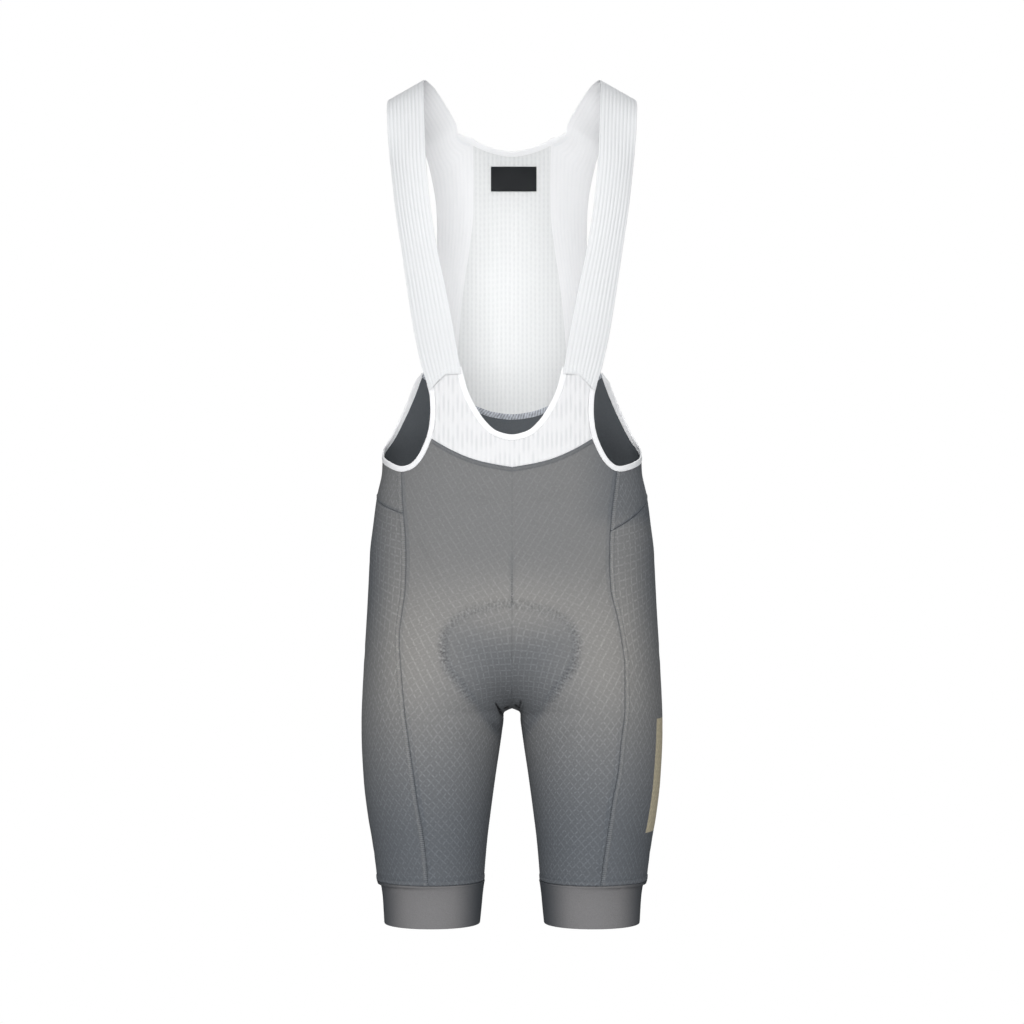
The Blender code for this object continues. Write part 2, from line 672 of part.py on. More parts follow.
def label():
    """The label's grid on the skin; it is sewn to the inside of the back panel."""
    x = LABEL_CENTRE_X + (shares(LABEL_COLUMNS) - 0.5) * LABEL_WIDTH
    z = LABEL_TOP_Z - shares(LABEL_ROWS) * LABEL_HEIGHT
    return front_or_back(*np.meshgrid(x, z), BACK)


def materials():
    made = {}
    for name, (colour, roughness) in COLOURS.items():
        material = bpy.data.materials.new(name)
        material.use_nodes = True
        shader = material.node_tree.nodes["Principled BSDF"]
        shader.inputs["Base Color"].default_value = (*colour, 1.0)
        shader.inputs["Roughness"].default_value = roughness
        shader.inputs["Metallic"].default_value = 0.0
        made[name] = material
    return made


def main():
    for thing in list(bpy.data.objects):
        bpy.data.objects.remove(thing, do_unlink=True)
    look = materials()
    bib_grid, yokes, armholes, napes = bib(), {}, {}, {}
    for side, word in ((LEFT, "left"), (RIGHT, "right")):
        front = front_panel(side)
        wall(f"front_{word}", front, look["grey_knit"])
        wall(f"leg_back_{word}", rear_panel(side), look["grey_knit"])
        wall(f"cuff_{word}", cuff(side), look["grey_band"], tube=True)
        yokes[side], corner = yoke_half(side)
        bib_rows = bib_grid if side == RIGHT else bib_grid[::-1]
        bib_side = bib_rows[:BIB_SIDE_ROWS, -1]
        armholes[side] = np.concatenate([bib_side, front[0, FRONT_COLUMNS:], yokes[side][0, 1 : corner + 1]])
        grid, facing, lift = strap(side)
        wall(f"strap_{word}", grid, look["white_elastic"], out=lift, facing=facing)
        first, last = (row * ROWS_PER_STRAP_ROW for row in NAPE_ROWS)
        napes[side] = grid[first:last, 0]
    wall("back_yoke", np.concatenate([yokes[LEFT], yokes[RIGHT][:, -2::-1]], axis=1), look["grey_knit"])
    wall("bib_front", bib_grid, look["white_mesh"])
    back_grid = back_panel()
    wall("back_mesh", back_grid, look["white_mesh"])
    for side, word in ((LEFT, "left"), (RIGHT, "right")):
        path = armholes[side]
        middle = np.array(ARMHOLE_MIDDLE) * (side, 1, 1)
        binding(f"armhole_binding_{word}", path, normals(path), middle - path, look["white_elastic"])
    neck = bib_grid[:, 0]
    binding("neck_binding_front", neck, normals(neck), (0, 0, 1), look["white_elastic"])
    nape = np.concatenate([napes[RIGHT], back_grid[0], napes[LEFT][::-1]])
    binding("neck_binding_back", nape, normals(nape), (0, 0, 1), look["white_elastic"])
    wall("label", label(), look["black_label"], out=-CLOTH - SEAM_GAP, thick=LABEL_THICKNESS, edges=())
    pad_grid, pad_thick = pad()
    wall("pad", pad_grid, look["pad_foam"], out=-CLOTH - PAD_CLEARANCE, thick=pad_thick, edges=())


main()
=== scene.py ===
"""Cycling bib shorts, dressed: every cut piece as knit, with its seams, stitching, bindings and pad."""

import math

import bpy
import numpy as np
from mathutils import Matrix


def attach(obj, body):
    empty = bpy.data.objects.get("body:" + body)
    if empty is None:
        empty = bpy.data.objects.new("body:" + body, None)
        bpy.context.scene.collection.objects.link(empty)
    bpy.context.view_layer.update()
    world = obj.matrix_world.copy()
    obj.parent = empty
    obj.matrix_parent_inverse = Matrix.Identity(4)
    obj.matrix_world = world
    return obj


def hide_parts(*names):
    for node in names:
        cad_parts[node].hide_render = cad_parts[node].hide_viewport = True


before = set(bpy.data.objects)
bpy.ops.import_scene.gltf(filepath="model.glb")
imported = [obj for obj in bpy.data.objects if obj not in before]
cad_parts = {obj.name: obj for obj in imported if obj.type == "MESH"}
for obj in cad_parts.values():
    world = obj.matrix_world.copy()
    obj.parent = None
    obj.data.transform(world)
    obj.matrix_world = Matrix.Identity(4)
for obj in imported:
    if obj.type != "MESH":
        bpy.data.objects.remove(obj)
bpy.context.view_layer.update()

# --------------------------------------------------------------------------------------------------------
# The studio. The garment hangs filled out in a round white room, seen level from the front with a long
# lens. A large soft light stands before it, a little above, with weaker ones below, above, at both sides
# and behind.

CAMERA_DISTANCE, CAMERA_HEIGHT, LENS_MM = 3.6, -0.489, 112.0
ROOM_RADIUS, ROOM_FLOOR, ROOM_TOP = 9.0, -4.5, 6.0
WHITE = "#ffffff"


def paint(code):
    """A colour written as sRGB hex, in the linear values that a shader takes."""
    parts = [int(code[i : i + 2], 16) / 255 for i in (1, 3, 5)]
    return tuple(c / 12.92 if c <= 0.04045 else ((c + 0.055) / 1.055) ** 2.4 for c in parts) + (1.0,)


def add(material, kind, inputs=None, **settings):
    """Adds a node with its settings. Inputs go by name or number, and are values or sockets to link."""
    tree = material.node_tree
    made = tree.nodes.new("ShaderNode" + kind)
    for name, value in settings.items():
        setattr(made, name, value)
    for key, value in (inputs or {}).items():
        if isinstance(value, bpy.types.NodeSocket):
            tree.links.new(value, made.inputs[key])
        else:
            made.inputs[key].default_value = value
    return made


def new_material(name):
    """An empty node material, to which the caller adds its shader and output."""
    material = bpy.data.materials.new(name)
    material.use_nodes = True
    material.node_tree.nodes.clear()
    return material


bpy.ops.object.select_all(action="DESELECT")
bpy.ops.object.camera_add(location=(0, -CAMERA_DISTANCE, CAMERA_HEIGHT), rotation=(math.pi / 2, 0, 0))
camera = bpy.context.object
camera.data.lens = LENS_MM
camera.data.clip_end = 100
bpy.context.scene.camera = camera
bpy.context.scene.view_settings.view_transform = "Standard"

for name, place, target, size, watts in (
    ("key", (-0.2, -3.2, 0.75), (0, 0, -0.50), (1.5, 1.1), 49),
    ("low_fill", (0.1, -3.1, -1.25), (0, 0, -0.60), (1.6, 0.8), 26),
    ("side_left", (-2.4, -2.5, -0.2), (0, 0, -0.50), (1.0, 1.6), 21.5),
    ("side_right", (2.4, -2.5, -0.2), (0, 0, -0.50), (1.0, 1.6), 13),
    ("above", (0.5, -0.9, 2.2), (0, 0, -0.1), (1.2, 1.0), 13),
    ("behind", (0.3, 3.2, 0.9), (0, 0, -0.50), (2.2, 1.4), 70),
):
    bpy.ops.object.light_add(type="AREA", location=place)
    light = bpy.context.object
    light.name = name
    light.data.shape = "RECTANGLE"
    light.data.size, light.data.size_y = size
    light.data.energy = watts
    toward = [t - p for t, p in zip(target, place)]
    flat = math.hypot(toward[0], toward[1])
    tilt, turn = math.atan2(toward[2], flat), math.atan2(-toward[0], toward[1])
    light.rotation_euler = (math.pi / 2 + tilt, 0, turn)

world = bpy.data.worlds.new("studio_air")
world.use_nodes = True
world.node_tree.nodes["Background"].inputs["Color"].default_value = paint("#e8ebee")
world.node_tree.nodes["Background"].inputs["Strength"].default_value = 0.26
bpy.context.scene.world = world

bpy.ops.mesh.primitive_cylinder_add(
    vertices=96,
    radius=ROOM_RADIUS,
    depth=ROOM_TOP - ROOM_FLOOR,
    location=(0, 0, (ROOM_TOP + ROOM_FLOOR) / 2),
)
room = bpy.context.object
room.name = "studio_room"
room.visible_diffuse = room.visible_glossy = room.visible_shadow = room.visible_transmission = False
room_white = new_material("studio_white")
glow = add(room_white, "Emission", {"Color": paint(WHITE), "Strength": 1.0})
add(room_white, "OutputMaterial", {"Surface": glow.outputs[0]})
room.data.materials.append(room_white)

# --------------------------------------------------------------------------------------------------------
# The front panels. Two pieces of grey warp knit run from the bib and the armholes down to the cuffs and
# meet in a centre seam. All cloth lies on one closed form in mm, the skin, sized like the solids.

BODY_COLUMNS = ("z", "outer", "inner", "front", "back", "square", "blend")
BODY = (
    (-40, 148, -148, -72, 62, 2.3, 0),
    (-75, 152, -152, -84, 81, 2.3, 0),
    (-110, 158, -158, -99, 93, 2.3, 0),
    (-150, 162, -162, -112, 101, 2.3, 0),
    (-200, 165, -165, -121, 105, 2.3, 0),
    (-260, 161, -161, -122, 98, 2.3, 0),
    (-330, 152, -152, -116, 85, 2.35, 0),
    (-400, 145, -145, -110, 77, 2.4, 0),
    (-442, 146, -146, -108, 79, 2.4, 0),
    (-472, 152, -152, -108, 84, 2.4, 0),
    (-501, 156, -156, -109, 92, 2.4, 0),
    (-543, 160.5, -160.5, -110, 105, 2.4, 0),
    (-570, 162, -150, -110, 112, 2.37, 2),
    (-600, 163.7, -116, -108.5, 116, 2.33, 8),
    (-630, 165.5, -76, -107, 115.5, 2.28, 17),
    (-655, 167, -45, -105, 112.5, 2.23, 26),
    (-675, 168, -22.5, -103.3, 108, 2.19, 32),
    (-688, 168.7, -9, -102, 104.5, 2.165, 35),
    (-698, 169.1, 0, -101, 101.3, 2.15, 36.3),
    (-705, 169.4, 5.4, -100.3, 99, 2.14, 36.8),
    (-711, 169.6, 9.2, -99.6, 97, 2.13, 36.8),
    (-715, 169.7, 9.6, -99.2, 95.8, 2.125, 27),
    (-722, 169.8, 9.5, -98.5, 93.8, 2.12, 14),
    (-735, 169.8, 11, -97, 91, 2.11, 6),
    (-787, 167.5, 18.6, -92, 82, 2.1, 2),
    (-831, 162.5, 24.5, -86, 75, 2.1, 2),
    (-857, 158, 27.7, -82, 71, 2.1, 2),
    (-895, 152.8, 31, -76, 65, 2.1, 2),
    (-903.5, 152, 31.6, -75, 64, 2.1, 2),
    (-906, 147.5, 32.2, -73, 62, 2.1, 2),
    (-920, 146, 33, -71, 60.5, 2.1, 2),
    (-952, 144, 36, -69, 58.5, 2.1, 2),
)
SIDE_SEAM_COLUMNS = ("z", "left", "right")
SIDE_SEAM = (
    (-444, 116.5, 123.0),
    (-470, 113.0, 122.0),
    (-491, 110.5, 120.5),
    (-519, 108.5, 118.0),
    (-545, 108.0, 117.5),
    (-574, 109.5, 118.5),
    (-600, 115.5, 122.0),
    (-628, 121.0, 125.0),
    (-662, 125.0, 123.0),
    (-690, 125.0, 120.5),
    (-706, 125.0, 119.0),
    (-740, 121.0, 114.5),
    (-775, 117.5, 109.5),
    (-810, 111.0, 104.5),
    (-845, 106.0, 98.5),
    (-880, 101.0, 94.5),
    (-903.5, 98.5, 93.0),
    (-952, 96.0, 91.0),
)
BIB_SEAM = ((0, -439.8), (24.5, -435.6), (44, -430.5), (66.5, -421), (88.5, -408.5))
ARMHOLE_FRONT = ((88.5, -408.5), (93.5, -422), (101, -434), (109, -441.5))
SIDE_SEAM_TOP_Z, CUFF_SEAM_Z, HEM_Z = -445.0, -903.5, -952.0
LEFT, RIGHT = 1, -1  # the wearer's sides, as the sign of x
SIDES = ((LEFT, "left"), (RIGHT, "right"))
FRONT, SIDE, BACK = -1, 0, 1
ARMHOLE_REAR = (
    # x, z, where
    (134.5, -440.5, FRONT),
    (143, -428, SIDE),
    (136.5, -410, BACK),
    (127, -391, BACK),
    (119, -374, BACK),
    (112.5, -358.5, BACK),
    (107, -344, BACK),
    (102.5, -330, BACK),
)
RING_SAMPLES, ROOT_HALVINGS = 601, 36
EVEN_SHARES = np.linspace(0, 1, RING_SAMPLES)
CLOTH_MM = 0.9
HALF_GAP = 0.06  # each piece ends this far from its seam line
EDGE_MM = (HALF_GAP, 0.5, 1.1, 1.8, 2.8, 4.0, 4.8, 5.4, 6.0, 7.0)  # the mesh's finer steps beside a seam
SHARP_ANGLE = 1.1  # radians between faces, past which an edge is shown sharp


def smooth(xs, ys, at):
    """A smooth curve through the points (xs, ys) with xs rising, which never swings past them."""
    xs, ys, at = (np.asarray(a, float) for a in (xs, ys, at))
    step = np.diff(xs)
    slope = np.diff(ys) / step
    tangent = np.concatenate([slope[:1], np.zeros(len(xs) - 2), slope[-1:]])
    same_way = slope[:-1] * slope[1:] > 0
    weight_a, weight_b = 2 * step[1:] + step[:-1], step[1:] + 2 * step[:-1]
    safe_a, safe_b = np.where(same_way, slope[:-1], 1.0), np.where(same_way, slope[1:], 1.0)
    mean = (weight_a + weight_b) / (weight_a / safe_a + weight_b / safe_b)
    tangent[1:-1] = np.where(same_way, mean, 0.0)
    i = np.clip(np.searchsorted(xs, at) - 1, 0, len(step) - 1)
    t = np.clip((at - xs[i]) / step[i], 0.0, 1.0)
    rise = ys[i] * (2 * t**3 - 3 * t**2 + 1) + ys[i + 1] * (3 * t**2 - 2 * t**3)
    return rise + step[i] * (tangent[i] * (t**3 - 2 * t**2 + t) + tangent[i + 1] * (t**3 - t**2))


def by_height(table, names, name, z):
    """A column of a table whose rows run from the top down, at height z."""
    heights, values = ([row[names.index(n)] for row in table[::-1]] for n in ("z", name))
    return smooth(heights, values, z)


def section(z):
    """Centre x, centre y, half width, half depth, squareness and blend of a leg's section at height z."""
    columns = (by_height(BODY, BODY_COLUMNS, name, z) for name in BODY_COLUMNS[1:])
    outer, inner, front, back, square, blend = columns
    centre, half = ((outer + inner) / 2, (front + back) / 2), ((outer - inner) / 2, (back - front) / 2)
    return *centre, *half, square, blend


def skin(x, y, z, cut=None):
    """About how far a point is outside the skin; negative inside."""
    cx, cy, width, depth, square, blend = section(z) if cut is None else cut

    def leg(x):
        dx, dy = x - cx, y - cy
        share = (np.abs(dx / width) ** square + np.abs(dy / depth) ** square) ** (1 / square)
        return np.hypot(dx, dy) * (1 - 1 / np.maximum(share, 1e-9))

    left, right = leg(x), leg(-x)
    near = np.maximum(blend - np.abs(left - right), 0)
    return np.minimum(left, right) - near**2 / (4 * np.maximum(blend, 1e-6))


def off_skin(points):
    """The same for an array of points, each as x, y and z."""
    return skin(*np.moveaxis(points, -1, 0))


def root(value, inside, outside):
    """Where value turns from negative at inside to positive at outside."""
    inside, outside = np.asarray(inside, float), np.asarray(outside, float)
    for _ in range(ROOT_HALVINGS):
        middle = (inside + outside) / 2
        within = value(middle) < 0
        inside, outside = np.where(within, middle, inside), np.where(within, outside, middle)
    return (inside + outside) / 2


def unit(vectors):
    """The same directions at length 1."""
    return vectors / np.linalg.norm(vectors, axis=-1, keepdims=True)


def square_to(vectors, direction):
    """What is left of vectors square to a direction of length 1."""
    return vectors - direction * np.sum(vectors * direction, axis=-1, keepdims=True)


def normals(points, step=0.4):
    """The skin's outward direction at points on it."""
    gradient = [off_skin(points + axis) - off_skin(points - axis) for axis in np.eye(3) * step]
    return unit(np.stack(gradient, axis=-1))


def on_skin(points):
    """The points of the skin nearest to points that are close to it."""
    for _ in range(2):
        points = points - normals(points) * off_skin(points)[..., None]
    return points


def front_or_back(x, z, where):
    """The point of the skin at x and z on the trunk's front or back."""
    x, z = np.broadcast_arrays(np.asarray(x, float), np.asarray(z, float))
    cut = section(z)
    y = root(lambda y: skin(x, y, z, cut), cut[1], cut[1] + where * 200.0)
    return np.stack([x, y, z], axis=-1)


def lengths(points):
    """How far along a line each of its points lies."""
    return np.concatenate([[0], np.cumsum(np.linalg.norm(np.diff(points, axis=0), axis=1))])


def at_lengths(line, run, spots):
    """The line's values at distances along it, where run is how far along each of its rows lies."""
    return np.stack([np.interp(spots, run, column) for column in line.T], axis=-1)


def rounded(line, passes):
    """A line with its corners rounded off by that many rounds of averaging; its ends stay."""
    for _ in range(passes):
        line[1:-1] = (line[:-2] + 2 * line[1:-1] + line[2:]) / 4
    return line


CROTCH_Z = float(root(lambda z: -skin(0.0, section(z)[1], z), -730.0, -690.0))
LEVELS = np.unique(np.concatenate([np.arange(-956, -328, 4.0), CROTCH_Z + np.arange(-14, 30, 1.0)]))


def rings():
    """One side's sections at all levels: x and y, and how long each section is.

    The points are at even shares round, from the centre front or the inseam.
    """
    z = LEVELS[:, None]
    cut = section(z)
    cx, cy, width, depth = cut[:4]
    limits = []
    for way in (-1, 1):
        y = root(lambda y: skin(0.0, y, z, cut), cy, cy + way * 2 * depth)
        limits.append(np.where(z > CROTCH_Z + 1e-3, np.arctan2(y - cy, -cx), way * np.pi))
    angle = limits[0] + (limits[1] - limits[0]) * EVEN_SHARES
    ray_x, ray_y = np.cos(angle), np.sin(angle)
    furthest = np.where(ray_x < 0, cx / np.maximum(-ray_x, 1e-9), width + depth)
    furthest = np.minimum(furthest + 1e-3, width + depth)
    reach = root(lambda r: skin(cx + r * ray_x, cy + r * ray_y, z, cut), 0 * angle + 0.01, furthest)
    x, y = cx + reach * ray_x, cy + reach * ray_y
    around = np.zeros(x.shape)
    around[:, 1:] = np.cumsum(np.hypot(np.diff(x), np.diff(y)), axis=1)
    for k, row in enumerate(around):
        share = row / row[-1]
        x[k], y[k] = np.interp(EVEN_SHARES, share, x[k]), np.interp(EVEN_SHARES, share, y[k])
    return x, y, around[:, -1]


RING_X, RING_Y, RING_LENGTH = rings()
SEAM_LENGTH = {}  # how far round each level the side-front seam lies
for side, word in SIDES:
    seam_x = by_height(SIDE_SEAM, SIDE_SEAM_COLUMNS, word, LEVELS)
    far = RING_X.argmax(axis=1) + 1
    shares = [np.interp(x, row[:n], EVEN_SHARES[:n]) for x, row, n in zip(seam_x, RING_X, far)]
    SEAM_LENGTH[side] = np.array(shares) * RING_LENGTH


def widest(z):
    """How far round the outermost point lies at height z."""
    return np.interp(z, LEVELS, RING_X.argmax(axis=1) / (RING_SAMPLES - 1) * RING_LENGTH)


def whole(z):
    """The length of one side's section at height z."""
    return np.interp(z, LEVELS, RING_LENGTH)


def side_seam(side, z):
    """How far round the side-front seam lies at height z."""
    return np.interp(z, LEVELS, SEAM_LENGTH[side])


def place(side, along, z):
    """The skin's points at distances round one side from the centre front or inseam, with normals."""
    along, z = np.broadcast_arrays(np.asarray(along, float), np.asarray(z, float))
    k = np.clip(np.searchsorted(LEVELS, z) - 1, 0, len(LEVELS) - 2)
    t = np.clip((z - LEVELS[k]) / (LEVELS[k + 1] - LEVELS[k]), 0, 1)
    spot = np.clip(along / whole(z), 0, 1) * (RING_SAMPLES - 1)
    j = np.clip(spot.astype(int), 0, RING_SAMPLES - 2)
    f = spot - j

    def at_level(ring, k):
        return ring[k, j] * (1 - f) + ring[k, j + 1] * f

    x, y = (at_level(ring, k) * (1 - t) + at_level(ring, k + 1) * t for ring in (RING_X, RING_Y))
    points = np.stack([x, y, z], axis=-1)
    for _ in range(2):
        facing = normals(points)
        points = points - facing * off_skin(points)[..., None]
    return points * (side, 1, 1), facing * (side, 1, 1)


def round_at(side, x, z, where):
    """The u of a point on the front, the outermost side or the back.

    1 is the side-front seam and 2 the centre back.
    """
    k = np.clip(np.searchsorted(LEVELS, z) - 1, 0, len(LEVELS) - 2)
    t = (z - LEVELS[k]) / (LEVELS[k + 1] - LEVELS[k])
    row, around = RING_X[k] * (1 - t) + RING_X[k + 1] * t, np.linspace(0, whole(z), RING_SAMPLES)
    far = int(np.argmax(row))
    if where == SIDE:
        along = around[far]
    elif where == FRONT:
        along = np.interp(x, row[: far + 1], around[: far + 1])
    else:
        along = np.interp(-x, -row[far:], around[far:])
    seam = side_seam(side, z)
    return float(along / seam if along <= seam else 1 + (along - seam) / (whole(z) - seam))


def ease(low, high, value):
    """0 below low and 1 above high, with a soft step between them."""
    t = np.clip((value - low) / (high - low), 0, 1)
    return t * t * (3 - 2 * t)


def spread(first, count, last):
    """Recipes for places across a width: mm from one edge, count even ones, mm from the other edge.

    Returns fixed and share, so that each place is fixed + share * width.
    """
    first, last = np.array(first, float), np.array(last, float)
    t = np.linspace(0, 1, count + 2)[1:-1]
    fixed = np.concatenate([first, first[-1] * (1 - t) - last[-1] * t, -last[::-1]])
    return fixed, np.concatenate([0 * first, t, 0 * last + 1])


def hem_relief(d, height=0.45, width=4.7):
    """How far cloth stands out at d mm from a seam.

    It is rounded at the edge, raised over the seam allowance and pinched by the stitches at its far side.
    """
    raised = height * ease(0.1, 1.3, d) * (1 - ease(width - 0.6, width + 0.5, d))
    return raised - 0.22 * np.exp(-(((d - width) / 0.55) ** 2)) - 0.5 * (1 - ease(0, 1.0, d))


def edge_relief(d, ridge=0.0):
    """The same where the seam allowance lies under the other piece, with a low ridge if asked."""
    return ridge * np.exp(-(((d - 3.0) / 1.9) ** 2)) - 0.45 * (1 - ease(0, 1.1, d))


def hem_shade(d, width=4.7, band_shade=0.8):
    """How much painted shade lies on cloth at d mm from a seam: in a line at its edge, in a band over its
    allowance, in a line at its stitches.
    """
    held = band_shade * (1 - ease(width - 0.4, width + 0.6, d))
    return held + 1.4 * np.exp(-(((d - 0.6) / 0.9) ** 2)) + 0.55 * np.exp(-(((d - width) / 0.8) ** 2))


def edge_shade(d, ridge=0.0):
    """The same where the seam allowance lies under the other piece, with a painted highlight along a ridge if
    asked.
    """
    return 1.2 * np.exp(-((d / 1.2) ** 2)) - ridge * np.exp(-(((d - 3.1) / 1.8) ** 2))


def new_piece(name, mesh):
    """Puts a finished mesh into the scene, as a piece of the one body."""
    piece = bpy.data.objects.new(name, mesh)
    bpy.context.collection.objects.link(piece)
    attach(piece, "root")
    return piece


def shell(name, outer, inner, materials, tube=False, maps=None, fields=None):
    """A closed shell between outer and inner grids of points in mm, with its UV maps and point fields."""
    rows, columns = outer.shape[:2]
    spans = columns if tube else columns - 1
    a = (np.arange(rows - 1)[:, None] * columns + np.arange(spans)).ravel()
    b = (np.arange(rows - 1)[:, None] * columns + (np.arange(spans) + 1) % columns).ravel()
    quads = np.stack([a, b, b + columns, a + columns], axis=1)
    count = rows * columns
    rim = [(c, (c + 1) % columns) for c in range(spans)]
    rim += [(b + (rows - 1) * columns, a + (rows - 1) * columns) for a, b in rim]
    if not tube:
        rim += [((r + 1) * columns, r * columns) for r in range(rows - 1)]
        rim += [(r * columns + columns - 1, (r + 2) * columns - 1) for r in range(rows - 1)]
    rim = np.array([(b, a, a + count, b + count) for a, b in rim])
    faces = np.concatenate([quads, quads[:, ::-1] + count, rim])
    flat = outer.reshape(-1, 3)
    across = np.cross(flat[quads[:, 2]] - flat[quads[:, 0]], flat[quads[:, 3]] - flat[quads[:, 1]])
    if np.sum(across * (outer - inner).reshape(-1, 3)[quads[:, 0]]) < 0:
        faces = faces[:, ::-1]
    vertices = np.concatenate([flat, inner.reshape(-1, 3)]) * 0.001
    mesh = bpy.data.meshes.new(name)
    mesh.from_pydata(vertices.tolist(), [], faces.tolist())
    for map_name, grid in (maps or {}).items():
        layer = mesh.uv_layers.new(name=map_name)
        both = np.concatenate([grid.reshape(-1, 2), grid.reshape(-1, 2)])
        layer.data.foreach_set("uv", both[faces.ravel()].astype(np.float32).ravel())
    for field, grid in (fields or {}).items():
        layer = mesh.attributes.new(field, "FLOAT", "POINT")
        values = np.broadcast_to(grid, (rows, columns)).ravel()
        layer.data.foreach_set("value", np.concatenate([values, values]).astype(np.float32))
    for material in materials:
        mesh.materials.append(material)
    slots = np.zeros(len(faces), int)
    slots[len(quads) : 2 * len(quads)] = len(materials) - 1
    mesh.polygons.foreach_set("material_index", slots)
    mesh.shade_smooth()
    mesh.set_sharp_from_angle(angle=SHARP_ANGLE)
    return new_piece(name, mesh)


# The pad's outline, which its sewing draws on the cloth: half its width by the share of its length.
PAD_FRONT_Z, PAD_BACK_Z = -590.0, -640.0
PAD_SHARE = {LEFT: 0.92, RIGHT: 0.98}  # the pad sits a little towards the wearer's right
PAD = (
    *((0, 14), (0.025, 46), (0.06, 67), (0.12, 78), (0.2, 75), (0.27, 58), (0.36, 47)),
    *((0.5, 45), (0.7, 56), (0.85, 68), (0.94, 62), (0.98, 46), (1, 16)),
)


def crotch_line():
    """The skin's line from the pad's front end, under the crotch, to its back end, and its shares."""
    fall = np.linspace(0, 1, 61) ** 2
    front_z = CROTCH_Z + (PAD_FRONT_Z - CROTCH_Z) * fall[::-1]
    back_z = CROTCH_Z + (PAD_BACK_Z - CROTCH_Z) * fall[1:]
    points = np.concatenate([front_or_back(0.0, front_z, FRONT), front_or_back(0.0, back_z, BACK)])
    return points, lengths(points) / lengths(points)[-1]


def pad_grid(side, stations, columns, strides=6):
    """Points of the skin over one half of the pad, in steps outwards from stations of the crotch line."""
    line, share = crotch_line()
    spine = at_lengths(line, share, stations)
    along = unit(np.gradient(spine, axis=0))
    stride = (PAD_SHARE[side] * smooth(*zip(*PAD), stations) / (columns * strides))[:, None]
    here, lane = spine.copy(), [spine.copy()]
    way = np.tile((1.0, 0.0, 0.0), (len(spine), 1))
    for k in range(columns * strides):
        way = unit(square_to(square_to(way, normals(here)), along))
        here = on_skin(here + way * stride)
        if k % strides == strides - 1:
            lane.append(here.copy())
    return np.stack(lane, axis=1) * (side, 1, 1)


def pad_seam(side):
    """One half of the line where the pad is sewn to the cloth, from front to back, at even steps."""
    near_front, near_back = (0, 0.01, 0.025, 0.045), (0.955, 0.975, 0.99, 1)
    grid = pad_grid(side, np.concatenate([near_front, np.linspace(0.07, 0.93, 60), near_back]), 8)
    line = np.concatenate([grid[0], grid[1:-1, -1], grid[-1, ::-1]])
    run = lengths(line)
    return at_lengths(line, run, np.arange(0, run[-1], PAD_SEAM_STEP))


PAD_SEAM_STEP, PAD_MIDDLE_Z = 0.8, -665
# The gathers' spacing, how far they reach from the seam, and how soon they change along it, in mm.
PUCKER_MM, PUCKER_REACH, PUCKER_DRIFT = 4.1, 5.4, 4.5
PAD_SEAM = {side: pad_seam(side) for side, _ in SIDES}


def puckers(side, points):
    """What the pad's seam does to the cloth.

    Returns the height of its gathers from -1 to 1, how near the seam is, and how far each point lies over the
    pad, both from 0 to 1, the last one less near the pad's top. All three also paint the knit: painted light
    and shade on the gathers, a mottled painted shade near the seam, and painted shade over the pad that grows
    towards the crotch.
    """
    rng = np.random.default_rng(11 + side)
    line = PAD_SEAM[side]
    comb, pinch_and_painted_shade, over = (np.zeros(points.shape[:-1]) for _ in range(3))
    near = (points[..., 2] < -570) & (points[..., 2] > -790)
    some = points[near]
    apart, nearest = np.empty(len(some)), np.empty(len(some), int)
    for start in range(0, len(some), 4000):
        gaps = np.linalg.norm(some[start : start + 4000, None] - line[None], axis=-1)
        nearest[start : start + 4000] = gaps.argmin(axis=1)
        apart[start : start + 4000] = gaps.min(axis=1)
    spot = line[nearest]
    outwards = spot * (1, 0, 1) - (0, 0, PAD_MIDDLE_Z)
    outside = np.sign(np.sum((some - spot) * outwards, axis=1))
    along = nearest * PAD_SEAM_STEP
    knots = np.arange(0, len(line) * PAD_SEAM_STEP + 2 * PUCKER_DRIFT, PUCKER_DRIFT)
    drift, strength, shift = (np.interp(along, knots, rng.random(len(knots))) for _ in range(3))
    away = outside * apart - 2.4 * (shift - 0.5)
    window = np.exp(-((away / PUCKER_REACH) ** 2))
    turns = (along + 0.3 * outside * apart) / PUCKER_MM
    slant = (along - 0.6 * outside * apart) / PUCKER_MM * 1.45
    waves = 0.95 * np.cos(2 * np.pi * turns + 3.6 * drift)
    waves += 0.4 * np.cos(2 * np.pi * slant + 5.0 * shift)
    waves += 0.8 * ease(-2, 2.5, away) * np.cos(np.pi * turns + 2.0 * drift)
    held = 1 - 0.85 * ease(-686, -712, some[:, 2]) * ease(30, -20, some[:, 1])
    held -= 0.35 * ease(-645, -605, some[:, 2])
    comb[near] = held * window * (0.4 + 0.9 * strength) * waves
    pinch_and_painted_shade[near] = held * np.exp(-((apart / 6.2) ** 4))
    # painted shade over the pad grows towards the crotch, where the cloth turns under
    low = ease(-612, -656, some[:, 2] - 0.35 * np.abs(some[:, 0]))
    over[near] = ease(5, -7, outside * apart) * (0.3 + 0.7 * low)
    return comb, pinch_and_painted_shade, over
